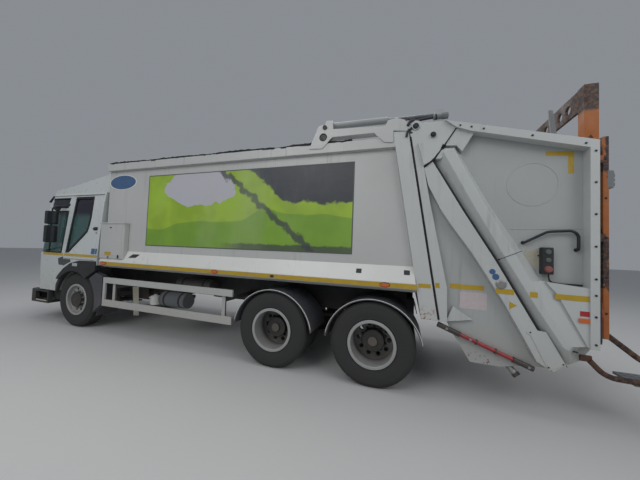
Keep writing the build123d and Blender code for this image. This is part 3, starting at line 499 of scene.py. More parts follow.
class Palette:
    """Finishes of the truck's surfaces, named for what they cover."""

    body = Finish("body_paint", "body_white", (0.46, 0.465, 0.455), 0.38, tone=0.09, streaks=0.55,
                  dust=0.45, dust_top=1.5, coat=0.15, dents=0.004)
    # Its hollow shade darkens the recessed side wall: painted shade
    tail = Finish("tailgate_paint", "body_white", (0.48, 0.50, 0.495), 0.40, tone=0.09,
                  streaks=0.45, dust=0.35, dust_top=1.2, chips=0.34, chip_size=0.05,
                  chip_top=0.62, coat=0.12, dents=0.004, hollow_shade=(1.118, 1.135, 0.74))
    # Painted highlight: a lighter copy of the body paint for the flare's upward-facing slope; its
    # streaks and dust are real dirt
    band = Finish("band_painted_highlight", "body_white", (0.62, 0.63, 0.60), 0.36, tone=0.06, streaks=0.35,
                  dust=0.25, dust_top=1.5, coat=0.15)
    frame = Finish("frame_paint", "body_white", (0.50, 0.515, 0.505), 0.40, tone=0.08,
                   streaks=0.45, dust=0.35, dust_top=1.2, chips=0.48, chip_size=0.05,
                   chip_colour=(0.26, 0.085, 0.030), chip_top=1.10)
    cab = Finish("cab_paint", "cab_white", (0.53, 0.565, 0.56), 0.30, tone=0.05, streaks=0.3,
                 dust=0.4, dust_top=1.3, coat=0.35)
    trim = Finish("trim_black", "black_plastic", (0.022, 0.024, 0.026), 0.62, tone=0.3, dust=0.08,
                  dust_top=1.2, grain=0.0006, grain_size=0.003)
    rubber = Finish("rubber_black", "black_plastic", (0.012, 0.012, 0.013), 0.75, tone=0.2)
    chassis = Finish("chassis_black", "frame_black", (0.024, 0.024, 0.026), 0.6, tone=0.3,
                     dust=0.30, dust_top=1.1, chips=0.12, chip_size=0.08, grain=0.0008,
                     grain_size=0.01)
    # Its hollow shade darkens faces nearer the middle than the rails' outer faces: painted shade
    guard = Finish("guard_grey", "body_white", (0.42, 0.425, 0.41), 0.45, tone=0.12, streaks=0.4,
                   dust=0.3, dust_top=1.1, chips=0.10, chip_size=0.04,
                   hollow_shade=(1.184, 1.198, 0.10))
    iron = Finish("cast_iron", "cast_metal", (0.10, 0.095, 0.09), 0.6, 0.4, tone=0.3, dust=0.5,
                  grain=0.001, grain_size=0.012)
    # Its hollow shade darkens the rims' deep dishes: painted shade
    wheel = Finish("wheel_silver", "wheel_grey", (0.36, 0.365, 0.36), 0.42, 0.25, tone=0.22,
                   tone_size=0.25, dust=0.18, dust_top=0.9, chips=0.10, chip_size=0.035,
                   hollow_shade=(0.98, 1.085, 0.24))
    hub = Finish("hub_dark", "wheel_grey", (0.035, 0.036, 0.036), 0.55, 0.3, tone=0.35, dust=0.15,
                 grain=0.0006, grain_size=0.01)
    tyre = Finish("tyre_rubber", "tyre_rubber", (0.020, 0.020, 0.021), 0.82, tone=0.3,
                  tone_size=0.2, dust=0.35, dust_top=0.8, dust_colour=(0.12, 0.105, 0.09),
                  grain=0.0006, grain_size=0.004)
    seat = Finish("seat_cloth", "seat_fabric", (0.035, 0.042, 0.055), 0.9, tone=0.25,
                  tone_size=0.02, grain=0.0012, grain_size=0.003)
    steel = Finish("worn_steel", "worn_steel", (0.24, 0.22, 0.19), 0.45, 0.6, tone=0.35,
                   tone_size=0.3, streaks=0.6, chips=0.30, chip_size=0.12)
    dark_steel = Finish("dark_steel", "dark_steel", (0.035, 0.030, 0.028), 0.6, 0.2, tone=0.4,
                        chips=0.30, chip_size=0.05, dust=0.4)
    ram = Finish("ram_paint", "ram_grey", (0.27, 0.28, 0.285), 0.45, 0.1, tone=0.15, streaks=0.4)
    chrome = Finish("ram_rod", "ram_chrome", (0.16, 0.165, 0.175), 0.34, 0.80, tone=0.15)
    zinc = Finish("zinc_fixings", "cast_metal", (0.30, 0.30, 0.29), 0.42, 0.6, tone=0.25,
                  tone_size=0.05)
    bolt = Finish("bolt_black", "dark_steel", (0.020, 0.022, 0.028), 0.5, 0.2, tone=0.3,
                  tone_size=0.05)
    yellow = Finish("stripe_yellow", "body_white", (0.44, 0.290, 0.016), 0.35, tone=0.2,
                    tone_size=0.12, streaks=0.5, coat=0.3, grain=0.0002, grain_size=0.004)
    white_line = Finish("line_white", "body_white", (0.66, 0.67, 0.64), 0.4, tone=0.1,
                        tone_size=0.1)
    blue = Finish("plate_blue", "body_white", (0.050, 0.110, 0.230), 0.4, tone=0.25,
                  tone_size=0.12, streaks=0.3)
    tan = Finish("plate_tan", "body_white", (0.40, 0.38, 0.30), 0.5, tone=0.2, tone_size=0.05)
    pink = Finish("sticker_faded", "body_white", (0.50, 0.44, 0.45), 0.55, tone=0.15,
                  tone_size=0.04)
    red_paint = Finish("strut_red", "dark_steel", (0.30, 0.018, 0.022), 0.35, tone=0.35,
                       tone_size=0.1, coat=0.3, chips=0.16, chip_size=0.04)
    stop = Finish("stop_button", "black_plastic", (0.24, 0.085, 0.075), 0.5, tone=0.2,
                  tone_size=0.03)
    button = Finish("button_grey", "black_plastic", (0.10, 0.11, 0.105), 0.45, tone=0.2,
                    tone_size=0.02)
    net = Finish("net_black", "black_plastic", (0.014, 0.014, 0.015), 0.9, tone=0.6,
                 tone_size=0.03, grain=0.004, grain_size=0.012)
    lamp_grey = Finish("lamp_box_grey", "dark_steel", (0.16, 0.17, 0.18), 0.5, tone=0.2)
    mirror = Finish("mirror_dark", "tinted_glass", (0.045, 0.050, 0.055), 0.10, 0.4, tone=0.1)
    guard_black = Finish("mudguard_black", "black_plastic", (0.060, 0.063, 0.074), 0.6, tone=0.25,
                         dust=0.12, dust_top=1.0, grain=0.0006)
    smoke = Finish("lens_smoke", "tinted_glass", (0.045, 0.048, 0.052), 0.18, coat=0.5, tone=0.2,
                   tone_size=0.08)
    pearl = Finish("lens_pearl", "tinted_glass", (0.40, 0.41, 0.40), 0.25, coat=0.4, tone=0.15,
                   tone_size=0.05)
    marker = Finish("marker_brown", "tinted_glass", (0.150, 0.050, 0.035), 0.30, coat=0.3,
                    tone=0.25, tone_size=0.06)
    side_glass = Glass("side_glass", "tinted_glass", (0.16, 0.30, 0.29), (0.05, 0.05, 0.09), 2.18)
    clear_glass = Glass("lamp_glass", "tinted_glass", (0.80, 0.82, 0.82), (0.80, 0.82, 0.82), 9.0,
                        0.9)
    amber = Lens("lens_amber", "tinted_glass", (0.62, 0.13, 0.012))
    red_lens = Lens("lens_red", "tinted_glass", (0.40, 0.012, 0.015))
    lift = Peeling("lift_paint", "lift_orange", (0.46, 0.145, 0.032), (0.030, 0.024, 0.024), 0.62,
                   black_above=3.36)
    mast = Peeling("mast_paint", "lift_orange", (0.42, 0.130, 0.030), (0.026, 0.022, 0.024), 0.20,
                   0.35)
    hoop = Peeling("hoop_paint", "dark_steel", (0.10, 0.045, 0.025), (0.022, 0.018, 0.018), 0.30)


# Shapes


ALONG_X = (1.0, 0.0, 0.0)
ALONG_Z = (0.0, 0.0, 1.0)
MERGE = 1e-5
CREASE = 35.0
EASED_CREASE = 32.0


def enter(name: str, mesh: bpy.types.Mesh, finishes: Sequence[Surface],
          crease: float) -> bpy.types.Object:
    """Bring a mesh into the scene as a dressed object.

    Args:
        name: name of the object.
        mesh: its mesh.
        finishes: finishes of its faces, in the order of their numbers.
        crease: angle in degrees past which an edge stays sharp.

    Returns:
        The object.
    """
    for finish in finishes:
        mesh.materials.append(finish.material())
    mesh.set_sharp_from_angle(angle=math.radians(crease))
    piece = bpy.data.objects.new(name, mesh)
    bpy.context.scene.collection.objects.link(piece)
    return piece


def enrol(piece: bpy.types.Object, body: str, replaced: Sequence[str]) -> None:
    """Even out a piece's shading and let it ride on a body.

    Args:
        piece: the finished piece.
        body: name of the CAD body.
        replaced: CAD nodes that it stands for.
    """
    piece.modifiers.new("Even shading", "WEIGHTED_NORMAL").keep_sharp = True
    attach(piece, body)
    if replaced:
        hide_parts(*replaced)
    LOG.info("%s: %d faces on %s", piece.name, len(piece.data.polygons), body)


class Shape:
    """One piece while it is modelled, from operators on a mesh."""

    def __init__(self, name: str, *finishes: Surface) -> None:
        """Start an empty piece.

        Args:
            name: name of the piece.
            finishes: finishes of its faces, picked by number in the other calls.
        """
        self.name = name
        self.finishes = finishes
        self.mesh = bmesh.new()

    def _settle(self, before: set, finish: int, edge: float = 0.0, turn: bool = True,
                sharp: float = 0.5) -> Verts:
        """Dress, bevel and turn outwards the faces that a call has added.

        Args:
            before: faces that were there before the call.
            finish: number of the finish they get.
            edge: width of the bevel on their sharp edges.
            turn: whether their normals are worked out afresh.
            sharp: angle in radians past which an edge is bevelled.

        Returns:
            The vertices of the added faces.
        """
        faces = [f for f in self.mesh.faces if f not in before]
        if turn:
            bmesh.ops.recalc_face_normals(self.mesh, faces=faces)
        for face in faces:
            face.material_index = finish
            face.smooth = True
        if edge:
            edges = {e for f in faces for e in f.edges
                     if len(e.link_faces) == 2 and e.calc_face_angle(0.0) > sharp}
            made = bmesh.ops.bevel(self.mesh, geom=list(edges), offset=edge,
                                   offset_type="OFFSET", segments=2, profile=0.5,
                                   affect="EDGES", material=-1, clamp_overlap=True)
            faces = [f for f in self.mesh.faces if f not in before] + made["faces"]
            for face in faces:
                face.material_index = finish
                face.smooth = True
        return list({v for f in faces for v in f.verts})

    def box(self, low: Point3, high: Point3, edge: float = 0.004, finish: int = 0) -> Verts:
        """Block between two corners, with eased edges.

        Args:
            low: lowest corner.
            high: highest corner.
            edge: width of the bevel.
            finish: number of its finish.

        Returns:
            Its vertices.
        """
        before = set(self.mesh.faces)
        size = [abs(b - a) for a, b in zip(low, high)]
        middle = Vector([(a + b) / 2 for a, b in zip(low, high)])
        matrix = Matrix.Translation(middle) @ Matrix.Diagonal((*size, 1.0))
        bmesh.ops.create_cube(self.mesh, size=1.0, matrix=matrix)
        return self._settle(before, finish, min(edge, min(size) * 0.3), turn=False)

    def _raise(self, faces: list[bmesh.types.BMFace], low: float, high: float,
               facing: Facing) -> None:
        """Extrude flat faces along the thickness of their plane.

        Args:
            faces: the faces.
            low: place where they lie.
            high: place that they are raised to.
            facing: plane in which they are drawn.
        """
        grown = bmesh.ops.extrude_face_region(self.mesh, geom=faces, use_keep_orig=True)
        moved = [g for g in grown["geom"] if isinstance(g, bmesh.types.BMVert)]
        shift = Vector(facing.point(0.0, 0.0, high)) - Vector(facing.point(0.0, 0.0, low))
        bmesh.ops.translate(self.mesh, verts=moved, vec=shift)

    def slab(self, outline: Outline, low: float, high: float, edge: float = 0.003,
             finish: int = 0, facing: Facing = Facing.SIDE) -> Verts:
        """Flat piece with an outline, extruded between two places along its thickness.

        Args:
            outline: its corner points.
            low: place where the thickness starts.
            high: place where it ends.
            edge: width of the bevel on its corners.
            finish: number of its finish.
            facing: plane of the outline.

        Returns:
            Its vertices.
        """
        before = set(self.mesh.faces)
        verts = [self.mesh.verts.new(facing.point(a, b, low)) for a, b in outline]
        self._raise([self.mesh.faces.new(verts)], low, high, facing)
        return self._settle(before, finish, min(edge, abs(high - low) * 0.4), sharp=0.35)

    def sloped(self, base: Outline, ridge: Outline, low: float, high: float,
               edge: float = 0.006, finish: int = 0) -> Verts:
        """Raised form with sloping sides, from a base outline up to a smaller one.

        Args:
            base: corner points of the foot, as (x, z).
            ridge: corner points of the top, as many as the foot's.
            low: Y of the foot.
            high: Y of the top.
            edge: width of the bevel.
            finish: number of its finish.

        Returns:
            Its vertices.
        """
        before = set(self.mesh.faces)
        rings = []
        for outline, along in ((base, low), (ridge, high)):
            verts = [self.mesh.verts.new((x, along, z)) for x, z in outline]
            self.mesh.faces.new(verts)
            rings += [self.mesh.edges.get((a, b)) for a, b in zip(verts, verts[1:] + verts[:1])]
        bmesh.ops.bridge_loops(self.mesh, edges=rings)
        return self._settle(before, finish, edge, sharp=0.2)

    def rim(self, outline: Outline, width: float, low: float, high: float,
            edge: float = 0.002, finish: int = 0, facing: Facing = Facing.SIDE) -> Verts:
        """Flat frame that follows an outline inside it.

        Args:
            outline: its outer corner points.
            width: width of the frame.
            low: place where its thickness starts.
            high: place where it ends.
            edge: width of the bevel.
            finish: number of its finish.
            facing: plane of the outline.

        Returns:
            Its vertices.
        """
        before = set(self.mesh.faces)
        verts = [self.mesh.verts.new(facing.point(a, b, low)) for a, b in outline]
        middle = self.mesh.faces.new(verts)
        middle.normal_update()
        ring = bmesh.ops.inset_region(self.mesh, faces=[middle], thickness=width,
                                      use_even_offset=True, use_boundary=True)["faces"]
        bmesh.ops.delete(self.mesh, geom=[middle], context="FACES_ONLY")
        self._raise(ring, low, high, facing)
        return self._settle(before, finish, min(edge, abs(high - low) * 0.3), sharp=0.6)

    def rod(self, start: Point3, end: Point3, radius: float, tip: float | None = None,
            sides: int = 24, edge: float = 0.002, finish: int = 0) -> Verts:
        """Round or many-sided bar between two points.

        Args:
            start: middle of its first end.
            end: middle of its second end.
            radius: radius of the first end.
            tip: radius of the second end, or None for the same.
            sides: number of its sides.
            edge: width of the bevel at both ends.
            finish: number of its finish.

        Returns:
            Its vertices.
        """
        before = set(self.mesh.faces)
        line = Vector(end) - Vector(start)
        turn = line.to_track_quat("Z", "Y").to_matrix().to_4x4()
        matrix = Matrix.Translation((Vector(start) + Vector(end)) / 2) @ turn
        bmesh.ops.create_cone(self.mesh, cap_ends=True, segments=sides, radius1=radius,
                              radius2=radius if tip is None else tip, depth=line.length,
                              matrix=matrix)
        return self._settle(before, finish, min(edge, line.length * 0.3), turn=False,
                            sharp=0.6 if sides > 8 else 1.2)

    def stud(self, at: Point2, foot: float, top: float, radius: float, sides: int = 6,
             finish: int = 0) -> Verts:
        """Bolt head or other short bar that stands out of a side face, along Y.

        Args:
            at: its place as (x, z).
            foot: Y of its foot.
            top: Y of its top.
            radius: its radius.
            sides: number of its sides.
            finish: number of its finish.

        Returns:
            Its vertices.
        """
        return self.rod((at[0], foot, at[1]), (at[0], top, at[1]), radius, sides=sides,
                        finish=finish)

    def spun(self, profile: Outline, centre: Point3, steps: int = 48, finish: int = 0,
             axis: Point3 = (0.0, 1.0, 0.0)) -> Verts:
        """Turned form about an axis.

        Args:
            profile: points as (radius, place along the axis); it is closed if it never
                meets the axis.
            centre: point on the axis from which the places count.
            steps: number of steps round.
            finish: number of its finish.
            axis: direction of the axis.

        Returns:
            Its vertices.
        """
        before = set(self.mesh.faces)
        along = Vector(axis)
        out = Vector(ALONG_Z if abs(along.z) < 0.5 else ALONG_X)
        verts = [self.mesh.verts.new(Vector(centre) + out * r + along * a) for r, a in profile]
        closed = min(r for r, a in profile) > 1e-6
        pairs = list(zip(verts, verts[1:] + (verts[:1] if closed else [])))
        edges = [self.mesh.edges.new(pair) for pair in pairs]
        bmesh.ops.spin(self.mesh, geom=verts + edges, cent=centre, axis=axis, dvec=(0, 0, 0),
                       angle=math.tau, steps=steps, use_merge=True)
        fresh = list({v for f in self.mesh.faces if f not in before for v in f.verts})
        bmesh.ops.remove_doubles(self.mesh, verts=fresh, dist=MERGE)
        return self._settle(before, finish)

    def tube(self, points: Sequence[Point3], radius: float, bend: float,
             sides: int = 4) -> Verts:
        """Bent metal tube through points.

        Args:
            points: its corners and ends.
            radius: radius of the tube.
            bend: distance from a corner at which its bend starts.
            sides: resolution round the tube.

        Returns:
            Its vertices.
        """
        before = set(self.mesh.faces)
        curve = bpy.data.curves.new(self.name + "_route", "CURVE")
        curve.dimensions = "3D"
        curve.bevel_depth = radius
        curve.bevel_resolution = sides
        curve.resolution_u = 6
        curve.use_fill_caps = True
        corners = [Vector(p) for p in points]
        knots: list[tuple[Vector, Vector, Vector]] = [(corners[0],) * 3]
        for past, here, following in zip(corners, corners[1:], corners[2:]):
            back, on = past - here, following - here
            start = here + back.normalized() * min(bend, back.length * 0.45)
            end = here + on.normalized() * min(bend, on.length * 0.45)
            knots.append((start, start, start.lerp(here, 0.6)))
            knots.append((end, end.lerp(here, 0.6), end))
        knots.append((corners[-1],) * 3)
        spline = curve.splines.new("BEZIER")
        spline.bezier_points.add(len(knots) - 1)
        for knot, (place, left, right) in zip(spline.bezier_points, knots):
            knot.handle_left_type = knot.handle_right_type = "FREE"
            knot.co, knot.handle_left, knot.handle_right = place, left, right
        carrier = bpy.data.objects.new(self.name + "_route", curve)
        bpy.context.scene.collection.objects.link(carrier)
        mesh = bpy.data.meshes.new_from_object(carrier)
        self.mesh.from_mesh(mesh)
        bpy.data.objects.remove(carrier)
        bpy.data.meshes.remove(mesh)
        return self._settle(before, 0)

    def skin(self, node: str, keep: Callable[[Vector, Vector], bool], lift: float) -> Verts:
        """Thin layer cut out of a CAD node's own surface.

        Args:
            node: name of the node.
            keep: test of a face's middle and normal that says if it stays.
            lift: thickness of the layer.

        Returns:
            Its vertices.
        """
        copy = bmesh.new()
        copy.from_mesh(frame["nodes"][node].data)
        bmesh.ops.remove_doubles(copy, verts=copy.verts, dist=MERGE)
        gone = [f for f in copy.faces if not keep(f.calc_center_median(), f.normal)]
        bmesh.ops.delete(copy, geom=gone, context="FACES")
        bmesh.ops.solidify(copy, geom=copy.faces[:], thickness=-lift)
        bmesh.ops.recalc_face_normals(copy, faces=copy.faces[:])
        mesh = bpy.data.meshes.new(self.name + "_skin")
        copy.to_mesh(mesh)
        copy.free()
        before = set(self.mesh.faces)
        self.mesh.from_mesh(mesh)
        bpy.data.meshes.remove(mesh)
        return self._settle(before, 0, turn=False)

    def shift(self, verts: Iterable[bmesh.types.BMVert], rule: Callable[[Vector], Point3]) -> None:
        """Move vertices, each by a step that a rule works out from its place."""
        for vert in verts:
            vert.co += Vector(rule(vert.co))

    def _flip(self, geom: Iterable[object]) -> None:
        """Move vertices and faces to the truck's other side.

        Args:
            geom: what is moved, edges left out of account.
        """
        geom = list(geom)
        verts = [g for g in geom if isinstance(g, bmesh.types.BMVert)]
        faces = [g for g in geom if isinstance(g, bmesh.types.BMFace)]
        bmesh.ops.scale(self.mesh, verts=verts, vec=(1.0, -1.0, 1.0))
        bmesh.ops.reverse_faces(self.mesh, faces=faces)

    def mirrored(self) -> Shape:
        """Repeat all that is there on the truck's other side.

        Returns:
            The piece itself.
        """
        everything = self.mesh.verts[:] + self.mesh.edges[:] + self.mesh.faces[:]
        self._flip(bmesh.ops.duplicate(self.mesh, geom=everything)["geom"])
        return self

    def on(self, side: float) -> Shape:
        """Bring a piece that was made on the left to the side that it belongs to.

        Args:
            side: 1 on the left, -1 on the right.

        Returns:
            The piece itself.
        """
        if side < 0:
            self._flip([*self.mesh.verts, *self.mesh.faces])
        return self

    def place(self, body: str, *replaced: str) -> None:
        """Finish the piece and let it ride on a body.

        Args:
            body: name of the CAD body.
            replaced: CAD nodes that the piece stands for.
        """
        mesh = bpy.data.meshes.new(self.name)
        self.mesh.to_mesh(mesh)
        self.mesh.free()
        piece = enter(self.name, mesh, self.finishes, CREASE)
        enrol(piece, body, replaced)


BODY_OF = {node: body for body, nodes in frame["record"]["behaviour"]["bodies"].items()
           for node in nodes}


def eased(node: str, finish: Surface, edge: float = 0.004, segments: int = 2) -> None:
    """Stand-in for a CAD node with its own shape and eased edges.

    Args:
        node: name of the node.
        finish: its finish.
        edge: width of the bevel.
        segments: steps of the bevel.
    """
    copy = bmesh.new()
    copy.from_mesh(frame["nodes"][node].data)
    bmesh.ops.remove_doubles(copy, verts=copy.verts, dist=MERGE)
    bmesh.ops.dissolve_limit(copy, angle_limit=math.radians(0.6), verts=copy.verts,
                             edges=copy.edges)
    for face in copy.faces:
        face.smooth = True
        face.material_index = 0
    mesh = bpy.data.meshes.new(node + "_eased")
    copy.to_mesh(mesh)
    copy.free()
    piece = enter(node + "_eased", mesh, [finish], EASED_CREASE)
    bevel = piece.modifiers.new("Eased edges", "BEVEL")
    bevel.width = edge
    bevel.segments = segments
    bevel.limit_method = "ANGLE"
    bevel.angle_limit = math.radians(EASED_CREASE)
    bevel.use_clamp_overlap = True
    enrol(piece, BODY_OF[node], [node])


def dress(node: str, finish: Surface) -> None:
    """Give a CAD node that stays as it is a finish.

    Args:
        node: name of the node.
        finish: its finish.
    """
    piece = frame["nodes"][node]
    if not piece.material_slots:
        piece.data.materials.append(None)
    for slot in piece.material_slots:
        slot.link = "OBJECT"
        slot.material = finish.material()
    LOG.info("%s: dressed", node)


# Places that several sub-assemblies share, read from the model


def middle(node: str, axis: int) -> float:
    """Middle of a CAD node along an axis, from 0 for X to 2 for Z."""
    low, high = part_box(node)
    return (low[axis] + high[axis]) / 2


AXLE_1 = middle("front_tyre_left", 0)
AXLE_2 = middle("middle_tyres_left", 0)
AXLE_3 = middle("rear_tyres_left", 0)
HUB_HEIGHT = middle("front_tyre_left", 2)
SIDES = (("left", 1.0), ("right", -1.0))


def ahead(outline: Outline) -> list[Point2]:
    """Outline given ahead of the front axle, moved to its place."""
    return [(AXLE_1 + x, z) for x, z in outline]


def aft(outline: Outline) -> list[Point2]:
    """Outline given from the middle axle, with X negative to the rear, moved to its place."""
    return [(AXLE_2 + x, z) for x, z in outline]


def spot(point: Point2) -> Point2:
    """Point given from the middle axle, moved to its place."""
    return AXLE_2 + point[0], point[1]


def routed(route: Sequence[Point3]) -> list[Point3]:
    """Tube's route given from the middle axle, moved to its place."""
    return [(AXLE_2 + x, y, z) for x, y, z in route]


def bar(low: Point2, high: Point2) -> tuple[Point2, ...]:
    """Rectangle between two corners as an outline."""
    return low, (high[0], low[1]), high, (low[0], high[1])


def disc(at: Point2, radius: float, sides: int = 28, tall: float = 1.0) -> tuple[Point2, ...]:
    """Circle or ellipse as an outline.

    Args:
        at: its middle.
        radius: radius across.
        sides: number of its corners.
        tall: height over width.

    Returns:
        Its corner points.
    """
    return tuple((at[0] + radius * math.cos(math.tau * i / sides),
                  at[1] + radius * tall * math.sin(math.tau * i / sides)) for i in range(sides))


# Sub-assemblies


@dataclass(frozen=True)
class Hub:
    """Hub cap and bolts of one kind of wheel.

    The section is (radius, distance out of the rim's face), and a bolt's turn is its
    share of the step between two bolts.
    """

    ending: str
    nuts: Finish
    section: Outline
    bolts: int
    bolt_turn: float
    bolt_circle: float
    bolt_out: float
    bolt_radius: float


STEERED_HUB = Hub(
    "_hub_cap", Palette.zinc,
    ((0.0, 0.022), (0.030, 0.022), (0.062, 0.016), (0.078, 0.004), (0.084, 0.002), (0.118, 0.002),
     (0.137, 0.006), (0.1440, -0.003), (0.1440, -0.060), (0.0, -0.060)),
    bolts=8, bolt_turn=0.0, bolt_circle=0.104, bolt_out=0.006, bolt_radius=0.008)
DRIVEN_HUB = Hub(
    "_hub", Palette.hub,
    ((0.0, 0.020), (0.050, 0.020), (0.060, 0.012), (0.100, 0.010), (0.136, 0.006), (0.1440, -0.006),
     (0.1440, -0.100), (0.0, -0.100)),
    bolts=10, bolt_turn=0.5, bolt_circle=0.112, bolt_out=0.012, bolt_radius=0.0085)


@dataclass
class Wheels:
    """Tyres, rims, nuts and hubs of all three axles."""

    tyre_width: float = 0.28
    outer_radius: float = 0.525
    tread_blocks: int = 96
    groove_depth: float = 0.010
    block_gap: float = 0.0028
    nut_circle: float = 0.155
    nut_count: int = 10
    nut_radius: float = 0.017
    stud_radius: float = 0.0105
    disc_wall: float = 0.012
    steered_disc: float = 0.070
    driven_disc: float = 0.165
    driven_step: float = 0.013
    driven_cap: float = 0.040
    sidewall: Outline = (
        (0.288, 0.112), (0.298, 0.119), (0.312, 0.1215), (0.318, 0.1275), (0.326, 0.1285),
        (0.334, 0.1275), (0.352, 0.1335), (0.385, 0.1385), (0.415, 0.1398), (0.440, 0.1390),
        (0.458, 0.1368), (0.462, 0.1385), (0.468, 0.1380), (0.472, 0.1345), (0.488, 0.1275),
        (0.500, 0.1195), (0.509, 0.1120))
    rib_edges: Sequence[float] = (0.104, 0.070, 0.062, 0.026, 0.018)

    def profile(self, blocks: bool) -> list[Point2]:
        """Cross-section of a tyre.

        Args:
            blocks: whether the ribs are left low, so that tread blocks can stand on them.

        Returns:
            Its points as (radius, Y), round the whole section.
        """
        crown = self.outer_radius - (self.groove_depth if blocks else 0.0)
        groove = self.outer_radius - self.groove_depth - 0.004
        shoulder, *edges = self.rib_edges
        half = [*self.sidewall, (crown - 0.003, shoulder)]
        for rib_end, next_rib in zip(edges[::2], edges[1::2]):
            half += [(crown, rib_end), (groove, rib_end - 0.001), (groove, next_rib + 0.001),
                     (crown, next_rib)]
        return half + [(r, -y) for r, y in reversed(half)]

    def tyre(self, shape: Shape, x: float, y: float, blocks: bool) -> None:
        """Add one tyre.

        Args:
            shape: piece that it is added to.
            x: place of its axle.
            y: middle of the tyre along the axle.
            blocks: whether its tread is cut into blocks.
        """
        verts = shape.spun(self.profile(blocks), (x, y, HUB_HEIGHT), self.tread_blocks)
        if not blocks:
            return
        centre = Vector((x, y, HUB_HEIGHT))
        tread_radius = self.outer_radius - self.groove_depth - 0.0065
        tread = []
        for face in {f for v in verts for f in v.link_faces}:
            out = face.calc_center_median() - centre
            reach = [abs(v.co.y - y) for v in face.verts]
            if (math.hypot(out.x, out.z) > tread_radius and abs(face.normal.y) < 0.5
                    and abs(out.y) < self.rib_edges[0] and max(reach) - min(reach) > 0.01):
                tread.append(face)
        bmesh.ops.inset_individual(shape.mesh, faces=tread, thickness=self.block_gap,
                                   depth=self.groove_depth - 0.0005, use_even_offset=True)

    @staticmethod
    def ring(x: float, count: int, radius: float, turn: float) -> list[Point2]:
        """Evenly spaced places round an axle.

        Args:
            x: place of the axle.
            count: how many places there are.
            radius: radius of their circle.
            turn: share of a step by which the first one is turned.

        Returns:
            The places as (x, z).
        """
        angles = [math.tau * (index + turn) / count for index in range(count)]
        return [(x + radius * math.cos(a), HUB_HEIGHT + radius * math.sin(a)) for a in angles]

    def fixings(self, rim: str, x: float, side: float, disc_face: float, face: float,
                hub: Hub) -> None:
        """Make a rim with its nuts, studs and hub cap.

        Args:
            rim: CAD node of the rim.
            x: place of its axle.
            side: 1 on the left, -1 on the right.
            disc_face: distance of the disc that the nuts stand on from the truck's middle.
            face: distance of the hub cap's foot from the truck's middle.
            hub: kind of hub.
        """
        body = BODY_OF[rim]
        eased(rim, Palette.wheel, 0.004)
        nuts = Shape(rim + "_nuts", hub.nuts)
        y = side * disc_face
        for a, c in self.ring(x, self.nut_count, self.nut_circle, 0.5):
            for start, end, radius, sides in (
                    (0.0, 0.004, self.nut_radius * 1.25, 20), (0.003, 0.028, self.nut_radius, 6),
                    (0.02, 0.042, self.stud_radius, 12)):
                nuts.stud((a, c), y + side * start, y + side * end, radius, sides)
        nuts.place(body)
        cap = Shape(rim + hub.ending, Palette.hub)
        cap.spun([(r, side * (face + out)) for r, out in hub.section], (x, 0.0, HUB_HEIGHT))
        for a, c in self.ring(x, hub.bolts, hub.bolt_circle, hub.bolt_turn):
            cap.stud((a, c), side * (face - 0.012), side * (face + hub.bolt_out),
                     hub.bolt_radius)
        cap.place(body)

    def build(self) -> None:
        """Make every wheel on both sides."""
        for word, side in SIDES:
            self.steered(f"front_tyre_{word}", f"front_rim_{word}", side)
            self.driven(f"middle_tyres_{word}", f"middle_rims_{word}", AXLE_2, side)
            self.driven(f"rear_tyres_{word}", f"rear_rims_{word}", AXLE_3, side)

    def steered(self, tyre: str, rim: str, side: float) -> None:
        """Make a single wheel of the front axle.

        Args:
            tyre: CAD node of its tyre.
            rim: CAD node of its rim.
            side: 1 on the left, -1 on the right.
        """
        shape = Shape(tyre + "_rubber", Palette.tyre)
        self.tyre(shape, AXLE_1, middle(tyre, 1), False)
        shape.place(BODY_OF[tyre], tyre)
        outer = max(abs(v.y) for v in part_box(rim))
        self.fixings(rim, AXLE_1, side, outer - self.steered_disc + self.disc_wall, outer,
                     STEERED_HUB)

    def driven(self, tyres: str, rims: str, x: float, side: float) -> None:
        """Make a pair of wheels on one hub.

        Args:
            tyres: CAD node of both tyres.
            rims: CAD node of both rims.
            x: place of their axle.
            side: 1 on the left, -1 on the right.
        """
        low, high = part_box(tyres)
        shape = Shape(tyres + "_rubber", Palette.tyre)
        for y in (low.y + self.tyre_width / 2, high.y - self.tyre_width / 2):
            self.tyre(shape, x, y, True)
        shape.place(BODY_OF[tyres], tyres)
        outer = max(abs(low.y), abs(high.y)) - self.tyre_width / 2
        disc_face = outer - self.driven_disc + self.driven_step + self.disc_wall
        self.fixings(rims, x, side, disc_face, outer - self.driven_cap, DRIVEN_HUB)


